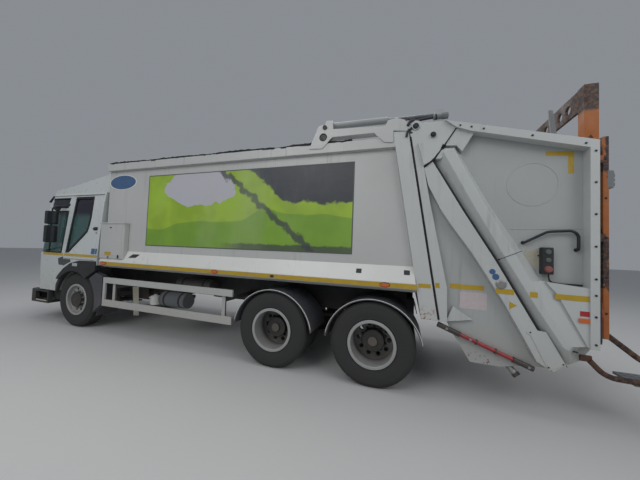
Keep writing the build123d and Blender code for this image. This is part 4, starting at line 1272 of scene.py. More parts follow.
@dataclass
class Cab:
    """Cab with its doors, glass, mirrors, grille, lamps and inside.

    Places on its side and front are given ahead of the front axle.
    """

    # Height, front place and half width of each level of the shell
    sections: Sequence[tuple[float, float, float]] = (
        (0.650, 1.340, 1.190), (1.360, 1.285, 1.230), (2.400, 1.220, 1.165), (2.620, 1.120, 1.130))
    bow: float = 0.060
    corner: float = 0.200
    door_window: Outline = (
        (0.295, 1.422), (0.214, 2.538), (-0.315, 2.538), (-0.332, 2.390), (-0.328, 2.130),
        (-0.311, 1.984), (-0.272, 1.840), (-0.119, 1.704), (0.090, 1.530), (0.192, 1.435))
    # Rear lower and rear upper corner of each side window ahead of the pillar
    front_windows: Sequence[tuple[Point2, Point2]] = (
        ((0.412, 1.412), (0.365, 2.264)), ((0.400, 2.316), (0.384, 2.528)))
    seal_width: float = 0.044
    seal_depth: float = -0.012
    seal_out: float = 0.005
    seal_strip: float = 0.020
    pillar_seal: float = 0.034
    window_front: float = 0.930
    screen_seals: Sequence[float] = (1.412, 2.242)
    handle_plate: Outline = bar((-0.546, 1.876), (-0.436, 1.938))
    handle: Outline = bar((-0.544, 1.890), (-0.450, 1.922))
    lock: Outline = disc((-0.522, 1.828), 0.016, 16)
    door_stripe: Outline = bar((-0.549, 1.362), (0.326, 1.410))
    door_patch: Outline = bar((-0.548, 1.425), (-0.450, 1.530))
    front_stripe: Outline = bar((0.356, 1.362), (0.990, 1.410))
    rear_stripe: Outline = bar((-0.620, 1.362), (-0.562, 1.410))
    rear_patch: Outline = bar((-0.606, 1.425), (-0.562, 1.530))
    side_lens: Outline = ((0.498, 1.306), (0.382, 1.340), (0.354, 1.342), (0.354, 1.300),
                          (0.135, 1.300), (0.124, 1.258), (0.333, 1.173), (0.483, 1.183))
    gutter: Outline = bar((-0.600, 2.573), (0.930, 2.592))
    flare_lamp: Outline = bar((-0.114, 1.176), (0.033, 1.238))
    flare_y: float = 1.245
    print_out: float = 0.0015
    slats: int = 7
    slat_foot: float = 0.815
    slat_pitch: float = 0.068
    slat_height: float = 0.030
    wiper_pivots: Sequence[float] = (-0.55, 0.15)
    lamp_places: Sequence[float] = (0.825, 0.955)
    reflector: Outline = ((0.0, 0.0), (0.030, 0.006), (0.046, 0.024), (0.050, 0.040),
                          (0.054, 0.040), (0.054, -0.004), (0.0, -0.004))
    mirror_x: float = 0.600
    mirror_y: float = 1.325
    mirror_heights: Sequence[Point2] = ((1.615, 1.950), (1.975, 2.235))
    round_mirror: Outline = ((0.0, 0.020), (0.045, 0.014), (0.060, 0.0), (0.052, -0.012),
                             (0.0, -0.014))
    roof_lamps: Sequence[float] = (-0.90, -0.22, 0.0, 0.22, 0.90)
    roof_seams: Sequence[float] = (-0.35, 0.10)
    roof_half: float = 1.02
    back_ribs: Sequence[float] = (-0.8, -0.4, 0.0, 0.4)

    def section(self, z: float) -> Point2:
        """Front place ahead of the axle and half width of the cab at a height."""
        for (z0, a0, h0), (z1, a1, h1) in zip(self.sections, self.sections[1:]):
            if z <= z1:
                t = (z - z0) / (z1 - z0)
                return a0 + (a1 - a0) * t, h0 + (h1 - h0) * t
        return self.sections[-1][1:]

    def lean(self, point: Vector) -> Point3:
        """Step that brings a piece built at Y zero onto the cab's leaning left side."""
        return (0.0, self.section(point.z)[1], 0.0)

    def front(self, point: Vector) -> Point3:
        """Step that brings a piece built at X zero onto the cab's bowed front."""
        ahead_by, half = self.section(point.z)
        reach = min(1.0, abs(point.y) / (half - self.corner))
        return (AXLE_1 + ahead_by - self.bow * reach * reach, 0.0, 0.0)

    def on_side(self, shape: Shape, outline: Outline, out: float, edge: float = 0.002,
                finish: int = 0, inset: float = -0.003) -> None:
        """Add a flat piece on the left side.

        Args:
            shape: piece that it is added to.
            outline: its corner points.
            out: how far it stands out.
            edge: width of its bevel.
            finish: number of its finish.
            inset: where its back lies.
        """
        shape.shift(shape.slab(ahead(outline), inset, out, edge, finish), self.lean)

    def on_front(self, shape: Shape, half: float, low: float, high: float, out: float,
                 finish: int = 0, inset: float = -0.004) -> None:
        """Add a strip across the front that follows its bow.

        Args:
            shape: piece that it is added to.
            half: half its length.
            low: its lower edge.
            high: its upper edge.
            out: how far it stands out.
            finish: number of its finish.
            inset: where its back lies.
        """
        steps = 12
        across = [half * (2 * i / steps - 1) for i in range(steps + 1)]
        outline = [(out, y) for y in across] + [(inset, y) for y in reversed(across)]
        shape.shift(shape.slab(outline, low, high, 0.003, finish, Facing.PLAN), self.front)

    def build(self) -> None:
        """Make the cab."""
        eased("cab_shell", Palette.cab, 0.008)
        for word, _ in SIDES:
            eased(f"door_{word}", Palette.cab, 0.004)
            dress(f"door_glass_{word}", Palette.side_glass)
        dress("cab_glass", Palette.side_glass)
        eased("arch_flares", Palette.trim, 0.008)
        eased("sun_visor", Palette.trim, 0.004)
        eased("seats", Palette.seat, 0.03, segments=3)
        eased("dashboard", Palette.trim, 0.02, segments=3)
        dress("steering_wheel", Palette.trim)
        self.seals()
        self.doors()
        self.sides()
        self.front_end()
        self.bumper()
        self.mirrors()
        self.roof()
        self.back()

    def seals(self) -> None:
        """Rubber round the side windows and across the windscreen."""
        for word, side in SIDES:
            shape = Shape(f"door_seal_{word}", Palette.rubber)
            seal = shape.rim(ahead(self.door_window), self.seal_width, self.seal_depth, 0.006)
            shape.shift(seal, self.lean)
            shape.on(side).place(f"door_{word}")
        shape = Shape("screen_seals", Palette.rubber)
        for (foot, low), (head, high) in self.front_windows:
            pillar = [(foot, low), (foot + self.pillar_seal, low),
                      (head + self.pillar_seal, high), (head, high)]
            strips = [bar((x, z), (self.window_front, z + self.seal_strip))
                      for x, z in ((foot, low), (head, high - self.seal_strip))]
            for outline in (pillar, *strips):
                self.on_side(shape, outline, self.seal_out, 0.003, inset=self.seal_depth)
        shape.mirrored()
        for z in self.screen_seals:
            self.on_front(shape, 0.95, z, z + 0.022, self.seal_out, inset=self.seal_depth)
        shape.place("cab")

    def doors(self) -> None:
        """Handles, locks, belt stripe and blue patch on the doors."""
        for word, side in SIDES:
            shape = Shape(f"door_trim_{word}", Palette.trim, Palette.zinc, Palette.yellow,
                          Palette.blue)
            self.on_side(shape, self.handle_plate, 0.004)
            self.on_side(shape, self.handle, 0.030, 0.008)
            self.on_side(shape, self.lock, 0.006, finish=1)
            self.on_side(shape, self.door_stripe, self.print_out, 0.0, 2)
            self.on_side(shape, self.door_patch, self.print_out, 0.0, 3)
            shape.on(side).place(f"door_{word}")

    def sides(self) -> None:
        """Belt stripe, blue patch, side lens, gutter and flare lamps."""
        shape = Shape("cab_side_trim", Palette.trim, Palette.yellow, Palette.blue, Palette.smoke,
                      Palette.cab, Palette.pearl)
        self.on_side(shape, self.front_stripe, self.print_out, 0.0, 1)
        self.on_side(shape, self.rear_stripe, self.print_out, 0.0, 1)
        self.on_side(shape, self.rear_patch, self.print_out, 0.0, 2)
        self.on_side(shape, self.side_lens, 0.008, 0.003, 3)
        self.on_side(shape, self.gutter, 0.022, 0.006, 4)
        shape.slab(ahead(self.flare_lamp), self.flare_y - 0.01, self.flare_y + 0.003, 0.006, 5)
        shape.mirrored().place("cab")

    def front_end(self) -> None:
        """Grille with its slats, the bar under the windscreen and the wipers."""
        shape = Shape("front_grille", Palette.trim, Palette.rubber)
        self.on_front(shape, 0.80, 0.80, 1.29, 0.006, 1)
        for index in range(self.slats):
            z = self.slat_foot + index * self.slat_pitch
            self.on_front(shape, 0.79, z, z + self.slat_height, 0.026)
        self.on_front(shape, 0.92, 1.365, 1.425, 0.012)
        shape.place("cab")
        wiper = Shape("wipers", Palette.rubber)
        for y in self.wiper_pivots:
            arm = wiper.rod((0.016, y, 1.405), (0.022, y + 0.46, 1.56), 0.010, 0.007, 10)
            blade = wiper.box((0.004, y + 0.02, 1.490), (0.018, y + 0.72, 1.506), 0.003)
            hub = wiper.rod((0.0, y, 1.400), (0.030, y, 1.400), 0.022, sides=16)
            wiper.shift(arm + blade + hub, self.front)
        wiper.place("cab")

    def bumper(self) -> None:
        """Bumper with its headlamps and the steps in its ends."""
        eased("front_bumper", Palette.trim, 0.006)
        dress("tow_sockets", Palette.iron)
        low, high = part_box("headlamps")
        shape = Shape("headlamp_units", Palette.clear_glass, Palette.zinc, Palette.trim,
                      Palette.amber)
        shape.box((low.x, 0.745, low.z), (high.x - 0.05, 1.055, high.z), 0.006, 2)
        for y in self.lamp_places:
            shape.spun(self.reflector, (high.x - 0.055, y, middle("headlamps", 2)), 32, 1, ALONG_X)
        shape.box((high.x - 0.010, 0.745, low.z + 0.002), (high.x + 0.006, 1.045, high.z - 0.002),
                  0.006)
        shape.box((high.x - 0.050, 1.030, low.z + 0.010), (high.x - 0.014, 1.052, high.z - 0.010),
                  0.004, 3)
        shape.mirrored().place("chassis", "headlamps")
        step = Shape("bumper_steps", Palette.zinc, Palette.trim, Palette.tan)
        x, _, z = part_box("front_bumper")[0]
        for index in range(6):
            tread = x + 0.07 + index * 0.055
            step.box((tread, 0.94, z + 0.040), (tread + 0.022, 1.16, z + 0.052), 0.003)
        for low_corner, high_corner, edge, finish in (
                ((x + 0.05, 1.150, z + 0.034), (x + 0.40, 1.204, z + 0.060), 0.006, 2),
                ((x + 0.045, 0.902, z + 0.062), (x + 0.42, 0.914, z + 0.218), 0.003, 1),
                ((AXLE_1 + 0.600, 1.060, 0.440), (x + 0.060, 1.075, 0.620), 0.004, 1)):
            step.box(low_corner, high_corner, edge, finish)
        step.mirrored().place("chassis")

    def mirrors(self) -> None:
        """Mirrors on tube arms at both front corners."""
        x, y = AXLE_1 + self.mirror_x, self.mirror_y
        shape = Shape("mirror_sets", Palette.trim, Palette.mirror)
        for low, high in self.mirror_heights:
            shape.box((x - 0.030, y - 0.098, low), (x + 0.045, y + 0.098, high), 0.028)
            shape.box((x - 0.034, y - 0.084, low + 0.016), (x - 0.026, y + 0.084, high - 0.016),
                      0.003, 1)
        shape.spun(self.round_mirror, (x - 0.03, y - 0.06, 2.305), 24, 0, ALONG_X)
        shape.tube([(x - 0.220, 1.150, 2.380), (x, y, 2.320), (x, y, 1.560),
                    (x + 0.300, 1.190, 1.440)], 0.014, 0.06)
        shape.rod((x - 0.225, 1.130, 2.381), (x - 0.205, 1.165, 2.379), 0.034, sides=20)
        shape.box((x + 0.26, 1.165, 1.405), (x + 0.34, 1.225, 1.475), 0.012)
        shape.mirrored().place("cab", "mirrors")

    def roof(self) -> None:
        """Marker lamps, front marker bar and seams on the roof."""
        shape = Shape("roof_lamps", Palette.trim, Palette.amber, Palette.cab, Palette.marker)
        x = AXLE_1
        for y in self.roof_lamps:
            shape.box((x + 0.975, y - 0.055, 2.708), (x + 1.035, y + 0.055, 2.726), 0.004)
            shape.box((x + 0.982, y - 0.048, 2.720), (x + 1.030, y + 0.048, 2.744), 0.008, 1)
        shape.box((x + 1.060, -0.93, 2.622), (x + 1.106, 0.93, 2.662), 0.008, 3)
        for seam in self.roof_seams:
            z = 2.985 - 0.179 * (seam + 0.575)
            shape.box((x + seam, -self.roof_half, z - 0.02),
                      (x + seam + 0.03, self.roof_half, z + 0.006), 0.004, 2)
        shape.place("cab")

    def back(self) -> None:
        """Air duct and ribs on the cab's back wall."""
        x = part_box("cab_shell")[0].x
        shape = Shape("cab_back", Palette.trim, Palette.cab)
        shape.box((x - 0.075, 0.86, 1.50), (x + 0.004, 1.06, 2.56), 0.015)
        for index in range(6):
            z = 2.10 + index * 0.07
            shape.box((x - 0.082, 0.875, z), (x - 0.06, 1.066, z + 0.03), 0.004)
        for y in self.back_ribs:
            shape.box((x - 0.012, y - 0.04, 1.35), (x + 0.004, y + 0.04, 2.45), 0.006, 1)
        shape.place("cab")


@dataclass
class BodyBox:
    """Body with its banner, stripes, locker, nets and roof arms.

    Outlines are given from the middle axle.
    """

    side: float = 1.150
    band: float = 1.250
    slope_top: float = 1.510
    slope_height: float = 0.200
    banner_low: Point2 = (-1.085, 1.640)
    banner_high: Point2 = (2.563, 2.850)
    frame_reach: float = 0.012
    frame_width: float = 0.014
    # Place and half length of each orange marker
    markers: Sequence[Point2] = ((3.465, 0.088), (0.995, 0.058), (-1.534, 0.058))
    small_marker: float = 0.008
    squares: Outline = ((-1.202, 1.424), (-1.785, 1.436))
    stripe: Point2 = (1.249, 1.305)
    stripe_end: float = 1.905
    stripe_out: float = 0.0015
    post_stripe: Outline = ((-1.920, 1.271), (-1.918, 1.318), (-2.050, 1.318), (-2.056, 1.270))
    front_plate: Outline = ((2.90, 1.400), (2.83, 1.465), (2.66, 1.467), (2.72, 1.407))
    # Place, half width, half height and finish of each latch
    latches: Sequence[tuple[Point2, float, float, int]] = (
        ((3.310, 1.930), 0.014, 0.010, 3), ((3.090, 1.410), 0.012, 0.030, 3),
        ((3.348, 1.392), 0.012, 0.026, 1))
    sticker: Outline = bar((3.275, 1.43), (3.44, 1.49))
    net_rows: int = 2
    net_cuts: int = 220
    net_start: float = 0.85
    roof_ribs: int = 8
    rib_pitch: float = 0.58
    # Section of a roof rib: distance along and height over the roof
    rib: Outline = ((0.0, -0.002), (0.02, 0.022), (0.07, 0.022), (0.09, -0.002))
    uprights: Sequence[float] = (-0.9, -0.45, 0.0, 0.45, 0.9)
    oval: Point2 = (3.230, 2.776)
    arm_hole: Point2 = (-0.660, 3.202)
    # Section of the dark ring round each roof arm's hole: painted shade for the hole's shaded inner
    # wall
    arm_hole_shade_ring: Outline = ((0.041, -0.010), (0.041, 0.002), (0.054, 0.002), (0.054, -0.010))
    arm_pin: Point2 = (-0.681, 3.334)

    def build(self) -> None:
        """Make the body's surfaces."""
        eased("body_shell", Palette.body, 0.006)
        eased("rear_frame", Palette.frame, 0.006)
        eased("roof_arms", Palette.body, 0.006)
        eased("locker_box", Palette.body, 0.006)
        self.banner()
        self.stripes()
        self.slope()
        self.locker()
        self.nets()
        self.roof()
        self.plates()
        self.arm_fittings()

    def banner(self) -> None:
        """Printed sheets on both sides, with their frames."""
        low, high = aft([self.banner_low, self.banner_high])
        shape = Shape("banners", Banner("banner_print", "body_white", low, high))
        shape.slab(bar(low, high), self.side - 0.002, self.side + 0.003, 0.0)
        shape.mirrored().place("chassis")
        # The frames take the guard finish, whose painted hollow shade darkens them all over at this
        # distance from the middle
        edge = Shape("banner_edges", Palette.guard)
        reach = self.frame_reach
        edge.rim(bar((low[0] - reach, low[1] - reach), (high[0] + reach, high[1] + reach)),
                 self.frame_width, self.side - 0.002, self.side + 0.005)
        edge.mirrored().place("chassis")

    def stripes(self) -> None:
        """Yellow stripe, marker lamps and small dark plates along the band."""
        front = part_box("body_shell")[1].x
        shape = Shape("body_stripes", Palette.yellow, Palette.amber, Palette.trim)
        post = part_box("rear_frame")[1].y
        stripe = bar((AXLE_2 - self.stripe_end, self.stripe[0]), (front - 0.03, self.stripe[1]))
        for outline, face in ((stripe, self.band), (aft(self.post_stripe), post)):
            shape.slab(outline, face - 0.001, face + self.stripe_out, 0.0)
        height = sum(self.stripe) / 2
        for x, half in self.markers:
            at = spot((x, height))
            shape.slab(disc(at, half + 0.006, 28, 0.028 / half), self.band, self.band + 0.003, 0.0,
                       2)
            shape.slab(disc(at, half, 28, 0.024 / half), self.band, self.band + 0.014, 0.005, 1)
        shape.slab(disc(spot((self.small_marker, height)), 0.030, 20, 0.6), self.band,
                   self.band + 0.010, 0.004, 2)
        for x, z in aft(self.squares):
            plate = shape.box((x - 0.034, -0.004, z - 0.027), (x + 0.034, 0.007, z + 0.027),
                              0.003, 2)
            shape.shift(plate, self.slant)
        shape.shift(shape.slab(aft(self.front_plate), -0.004, 0.006, 0.002, 2), self.slant)
        shape.mirrored().place("chassis")

    def slope(self) -> None:
        """Lighter paint on the flare's upper slope: a painted highlight where the slope faces up.
        """
        def sloping(at: Vector, normal: Vector) -> bool:
            """Whether a face of the body belongs to the flare's upper slope."""
            return (1.28 < at.z < 1.54 and abs(at.y) > self.side - 0.01 and normal.z > 0.2
                    and abs(normal.y) > 0.6)

        shape = Shape("body_band_highlight", Palette.band)
        shape.skin("body_shell", sloping, 0.002)
        shape.place("chassis")

    def slant(self, point: Vector) -> Point3:
        """Step that brings a piece built at Y zero onto the band's slope."""
        share = min(1.0, max(0.0, (self.slope_top - point.z) / self.slope_height))
        return (0.0, self.side + (self.band - self.side) * share, 0.0)

    def locker(self) -> None:
        """Door, lid edge, latches and blank sticker of the locker."""
        shape = Shape("locker_fittings", Palette.body, Palette.zinc, Palette.yellow, Palette.trim)
        low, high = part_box("locker_box")
        face = high.y
        shape.slab(bar((low.x + 0.03, low.z + 0.06), (high.x - 0.03, high.z - 0.05)),
                   face - 0.002, face + 0.004)
        shape.slab(bar((low.x - 0.01, high.z - 0.012), (high.x + 0.01, high.z + 0.012)),
                   self.side, face + 0.008, 0.006)
        for at, half, tall, finish in self.latches:
            x, z = spot(at)
            shape.box((x - half, face + 0.002, z - tall), (x + half, face + 0.016, z + tall),
                      0.004, finish)
        shape.slab(aft(self.sticker), face + 0.003, face + 0.005, 0.0, 2)
        shape.place("chassis")

    def nets(self) -> None:
        """Ragged rolled net along each roof edge."""
        low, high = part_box("body_shell")
        shape = Shape("roof_nets", Palette.net)
        for row in range(self.net_rows):
            y = self.side + 0.006 + 0.02 * row, self.side + 0.034 + 0.02 * row
            verts = shape.box((low.x + self.net_start, y[0], high.z - 0.012),
                              (high.x - 0.05, y[1], high.z + 0.016), 0.0)
            edges = list({e for v in verts for e in v.link_edges if e.calc_length() > 1.0})
            bmesh.ops.subdivide_edges(shape.mesh, edges=edges, cuts=self.net_cuts,
                                      use_grid_fill=True)
        for vert in shape.mesh.verts:
            push = noise.noise(vert.co * 7.0) * 0.016 + noise.noise(vert.co * 31.0) * 0.010
            vert.co.z += push + 0.006
            vert.co.y += noise.noise(vert.co * 13.0) * 0.010
        shape.mirrored().place("chassis")

    def roof(self) -> None:
        """Cross ribs on the roof and uprights on the front wall."""
        low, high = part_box("body_shell")
        top = high.z - 0.040
        shape = Shape("body_ribs", Palette.body)
        for index in range(self.roof_ribs):
            start = low.x + 0.9 + index * self.rib_pitch
            shape.slab([(start + x, top + z) for x, z in self.rib], -self.side + 0.02,
                       self.side - 0.02, 0.004)
        for y in self.uprights:
            shape.box((high.x - 0.004, y - 0.035, 1.45), (high.x + 0.022, y + 0.035, 2.95), 0.006)
        shape.place("chassis")

    def plates(self) -> None:
        """Blank oval plate with a white edge on each side."""
        shape = Shape("oval_plates", Palette.blue, Palette.white_line)
        at = spot(self.oval)
        shape.slab(disc(at, 0.350, 40, 0.40), self.side - 0.001, self.side + 0.002, 0.0, 1)
        shape.slab(disc(at, 0.325, 40, 0.39), self.side, self.side + 0.004, 0.0)
        shape.mirrored().place("chassis")

    def arm_fittings(self) -> None:
        """Dark ring of painted shade round each roof arm's hole, standing for its shaded inner
        wall, and the bolt over it.
        """
        shape = Shape("roof_arm_fittings", Palette.rubber, Palette.bolt)
        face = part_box("roof_arms")[1].y
        x, z = spot(self.arm_hole)
        shape.spun(self.arm_hole_shade_ring, (x, face, z), 40)
        shape.stud(spot(self.arm_pin), face - 0.010, face + 0.014, 0.030, 24, 1)
        shape.mirrored().place("chassis")


@dataclass
class Chassis:
    """Frame, axles, tanks, guards and what hangs below the body."""

    lip_radius: float = 0.604
    lip_drop: float = 0.045
    lip_end: float = 9.0
    lip_section: Outline = ((-0.001, 1.240), (0.005, 1.240), (0.005, 1.2505), (-0.001, 1.2505))
    spring_y: float = 0.38
    leaves: int = 3
    air_tank: Outline = ((0.0, -0.002), (0.118, -0.002), (0.132, 0.014), (0.132, 0.546),
                         (0.118, 0.562), (0.0, 0.562))
    # Place from the middle axle and tank's radius of each tank strap
    straps: Sequence[tuple[float, float, float, float]] = (
        (1.98, 0.82, 0.67, 0.132), (2.32, 0.82, 0.67, 0.132), (1.60, 0.70, 0.95, 0.115),
        (2.05, 0.70, 0.95, 0.115))
    canister: Outline = ((0.0, 0.0), (0.070, 0.0), (0.080, 0.010), (0.080, 0.140),
                         (0.070, 0.158), (0.028, 0.164), (0.028, 0.180), (0.0, 0.180))
    tan_strap: Outline = ((3.031, 0.855), (2.880, 0.862), (2.835, 0.350), (2.965, 0.333))

    def build(self) -> None:
        """Make the parts below the body."""
        eased("chassis_frame", Palette.chassis, 0.004)
        eased("front_axle", Palette.iron, 0.006)
        eased("rear_axles", Palette.iron, 0.012)
        eased("mudguards", Palette.guard_black, 0.004)
        eased("side_guards", Palette.guard, 0.006)
        eased("tanks", Palette.iron, 0.010)
        dress("engine_block", Palette.iron)
        for word, _ in SIDES:
            eased(f"knuckle_{word}", Palette.iron, 0.006)
        self.lips()
        self.running_gear()
        self.tank_fittings()

    def lips(self) -> None:
        """Pale lips along the outer edges of the rear guards."""
        shape = Shape("guard_lips", Palette.white_line)
        height = HUB_HEIGHT - self.lip_drop
        end = height + self.lip_radius * math.sin(math.radians(self.lip_end))
        section = [(self.lip_radius + out, y) for out, y in self.lip_section]
        for x in (AXLE_2, AXLE_3):
            ring = shape.spun(section, (x, 0.0, height), 120)
            low = [v for v in ring if v.co.z < end]
            bmesh.ops.delete(shape.mesh, geom=low, context="VERTS")
        open_edges = [e for e in shape.mesh.edges if e.is_boundary]
        bmesh.ops.holes_fill(shape.mesh, edges=open_edges, sides=4)
        shape.mirrored().place("chassis")

    def running_gear(self) -> None:
        """Shafts, brake cylinders, springs and bolts."""
        shape = Shape("running_gear", Palette.iron, Palette.trim, Palette.zinc)

        def bolt(x: float, y: float, low: float, high: float, radius: float) -> None:
            """Add an upright bolt."""
            shape.rod((x, y, low), (x, y, high), radius, sides=12, finish=2)

        shape.rod((AXLE_1 - 1.70, 0.0, 0.80), (AXLE_2 + 0.22, 0.0, 0.56), 0.055, sides=28)
        shape.rod((AXLE_2 - 0.20, 0.0, 0.54), (AXLE_3 + 0.22, 0.0, 0.54), 0.050, sides=28)
        for x, z in ((AXLE_1 - 1.66, 0.79), (AXLE_2 + 0.26, 0.56), (AXLE_2 - 0.24, 0.56),
                     (AXLE_3 + 0.26, 0.56)):
            shape.rod((x - 0.05, 0.0, z), (x + 0.05, 0.0, z), 0.078)
        for axle in (AXLE_2, AXLE_3):
            for y in (0.50, -0.50):
                start = axle - 0.16, y, 0.60
                shape.rod(start, (axle - 0.36, y, 0.64), 0.085, sides=28, edge=0.012, finish=1)
                shape.rod(start, (axle - 0.05, y, 0.585), 0.018, sides=14, finish=2)
            for y in (self.spring_y, -self.spring_y):
                for step in (-0.05, 0.05):
                    bolt(axle + step, y + 0.05, 0.46, 0.66, 0.010)
        for y in (self.spring_y, -self.spring_y):
            for leaf in range(self.leaves):
                reach, drop = 0.66 - leaf * 0.14, leaf * 0.014
                shape.box((AXLE_1 - reach, y - 0.036, 0.431 - drop),
                          (AXLE_1 + reach, y + 0.036, 0.443 - drop), 0.002)
            for step in (-0.07, 0.07):
                bolt(AXLE_1 + step, y + 0.048, 0.34, 0.50, 0.011)
                bolt(AXLE_1 + step, y - 0.048, 0.34, 0.50, 0.011)
        shape.place("chassis")

    def tank_fittings(self) -> None:
        """Straps, caps, the air tank's skin, a white canister and a tan strap."""
        shape = Shape("tank_fittings", Palette.zinc, Palette.trim, Palette.white_line,
                      Palette.lamp_grey, Palette.tan)
        shape.spun(self.air_tank, (AXLE_2 + 1.87, 0.82, 0.67), 48, 3, ALONG_X)
        for x, y, z, radius in self.straps:
            shape.spun([(radius - 0.001, -0.018), (radius + 0.004, -0.018),
                        (radius + 0.004, 0.018), (radius - 0.001, 0.018)],
                       (AXLE_2 + x, y, z), 40, 1, ALONG_X)
        cap = AXLE_2 + 1.62
        shape.rod((cap, -1.0, 1.046), (cap, -1.0, 1.085), 0.055, sides=28, finish=1)
        for x in (AXLE_2 + 1.45, AXLE_2 + 2.30):
            shape.rim(bar((-1.126, 0.474), (-0.556, 1.056)), 0.008, x, x + 0.05, 0.001,
                      facing=Facing.FRONT)
        at = AXLE_2 + 2.53
        shape.spun(self.canister, (at, 0.93, 0.568), 36, 2, ALONG_Z)
        shape.box((at - 0.02, 0.41, 0.60), (at + 0.02, 0.88, 0.635), 0.004, 1)
        shape.slab(aft(self.tan_strap), 0.990, 0.996, 0.002, 4)
        shape.box((AXLE_2 + 2.90, 0.41, 0.840), (AXLE_2 + 2.99, 0.992, 0.870), 0.004, 1)
        shape.place("chassis")


@dataclass
class Tailgate:
    """Tailgate sides with their housings, stripes, controls and small fittings.

    Outlines are given from the middle axle, and wall, panel, strip, proud and ridge are
    the distances of the side's levels from the truck's middle.
    """

    wall: float = 1.120
    panel: float = 1.225
    strip: float = 1.205
    proud: float = 1.240
    ridge: float = 1.245
    housing_base: Outline = (
        (-2.150, 2.985), (-2.051, 2.784), (-2.389, 2.183), (-2.718, 1.626), (-3.135, 0.858),
        (-3.327, 0.591), (-3.407, 0.592), (-3.485, 0.801), (-3.243, 1.311), (-2.954, 1.770),
        (-2.640, 2.296), (-2.368, 2.830), (-2.300, 2.975))
    housing_ridge: Outline = (
        (-2.185, 2.890), (-2.155, 2.867), (-2.458, 2.265), (-2.761, 1.700), (-3.068, 1.149),
        (-3.285, 0.785), (-3.330, 0.760), (-3.349, 0.795), (-3.150, 1.158), (-2.864, 1.713),
        (-2.553, 2.299), (-2.283, 2.856), (-2.260, 2.890))
    strip_outline: Outline = (
        (-1.949, 2.700), (-2.045, 2.778), (-2.377, 2.183), (-2.706, 1.626), (-3.123, 0.858),
        (-3.312, 0.591), (-3.225, 0.508), (-3.080, 0.597), (-2.960, 0.836), (-2.780, 1.181),
        (-2.665, 1.376), (-2.465, 1.711), (-2.260, 2.008), (-2.145, 2.191), (-2.000, 2.490))
    ledges: Sequence[Outline] = (
        ((-1.879, 3.017), (-2.151, 2.991), (-2.151, 2.973), (-1.879, 2.998)),
        ((-2.184, 2.969), (-2.294, 2.959), (-2.294, 2.941), (-2.184, 2.951)))
    facet: Outline = ((-2.072, 2.800), (-2.140, 2.905), (-2.200, 2.915), (-2.136, 2.796))
    valley: Outline = ((-3.012, 1.425), (-3.150, 1.158), (-3.349, 0.800), (-3.494, 0.812),
                       (-3.247, 1.311), (-3.145, 1.433))
    foot_cover: Outline = ((-3.179, 0.530), (-3.022, 0.868), (-2.990, 0.880), (-2.996, 0.912),
                           (-3.022, 0.925), (-3.160, 0.915), (-3.325, 0.600))
    flange_bolts: Outline = (
        (-3.542, 2.765), (-3.542, 2.448), (-3.542, 2.129), (-3.542, 1.807), (-3.542, 1.486),
        (-3.542, 1.326), (-3.542, 1.118), (-3.542, 0.850), (-3.464, 2.850), (-3.015, 2.975),
        (-2.561, 3.100), (-2.440, 3.135), (-2.325, 3.165))
    cover_bolts: Outline = ((-3.022, 0.895), (-3.180, 0.560), (-3.300, 0.610))
    wall_bolts: Outline = ((-2.700, 1.620), (-3.120, 1.700))
    # Front end, rear end and level of each stretch of the stripe
    stripes: Sequence[tuple[float, float, float]] = (
        (-2.102, -2.147, strip), (-2.268, -2.617, wall), (-2.707, -2.876, strip),
        (-3.003, -3.070, ridge), (-3.222, -3.530, panel))
    # Outline, level and finish of each blank marking
    marks: Sequence[tuple[Outline, float, int]] = (
        (((-3.182, 2.829), (-3.425, 2.813), (-3.425, 2.578), (-3.376, 2.581), (-3.376, 2.772),
          (-3.183, 2.783)), wall, 0),
        (bar((-2.646, 1.060), (-2.372, 1.250)), wall, 1),
        (disc((-2.674, 1.505), 0.030, 24), strip, 2),
        (disc((-2.706, 1.450), 0.034, 24), strip, 2),
        (((-2.835, 1.195), (-2.835, 1.115), (-2.905, 1.158)), strip, 0),
        (bar((-3.531, 1.112), (-3.425, 1.162)), panel, 5))
    side_lamp: Outline = bar((-3.531, 1.049), (-3.412, 1.092))
    label: Outline = bar((-3.141, 1.564), (-3.006, 1.766))
    cap: Point2 = (-2.755, 1.372)
    cap_section: Outline = ((0.0, 0.018), (0.036, 0.018), (0.050, 0.008), (0.050, -0.002),
                            (0.0, -0.002))
    pressed_ring: Point2 = (-3.062, 2.478)
    ring_section: Outline = ((0.228, -0.002), (0.231, 0.004), (0.238, 0.004), (0.241, -0.002))
    panel_ledge: Outline = ((-2.865, 1.982), (-3.490, 1.988), (-3.490, 1.996), (-2.862, 1.990))
    slot: Outline = ((-3.380, 0.757), (-3.420, 0.752), (-3.418, 0.740), (-3.378, 0.745))
    handle_ends: Outline = ((-2.979, 1.835), (-3.443, 1.771))
    handle_out: float = 0.045
    box_ends: Point2 = (-3.231, -3.126)
    box_out: float = 0.078
    # Height, radius, depth and finish of each push button
    buttons: Sequence[tuple[float, float, float, int]] = (
        (1.740, 0.024, 0.016, 2), (1.655, 0.022, 0.014, 2), (1.560, 0.031, 0.030, 3))
    # Route of the control box's cable, with Y from the wall
    cable: Sequence[Point3] = (
        (-3.200, 0.03, 1.506), (-3.200, 0.03, 1.455), (-3.225, 0.018, 1.425),
        (-3.300, 0.016, 1.412), (-3.480, 0.014, 1.410), (-3.494, 0.0, 1.410))
    strut_ends: Outline = ((-2.140, 0.859), (-3.070, 0.503))
    strut_out: float = 0.040
    # Points and width of each arc line on the top plate
    arcs: Sequence[tuple[Outline, float]] = (
        (((-2.291, 3.168), (-2.169, 2.972), (-2.052, 2.788)), 0.011),
        (((-2.052, 2.788), (-1.996, 2.750), (-1.937, 2.721)), 0.005))
    housing_dot: Point2 = (-2.722, 1.640)
    housing_seam: Outline = ((-2.730, 1.648), (-2.928, 1.742), (-2.931, 1.737), (-2.733, 1.643))
    # Place and radius of both hinge pins
    pins: Sequence[tuple[Point2, float]] = (((-1.845, 3.222), 0.036), ((-2.043, 3.096), 0.032))
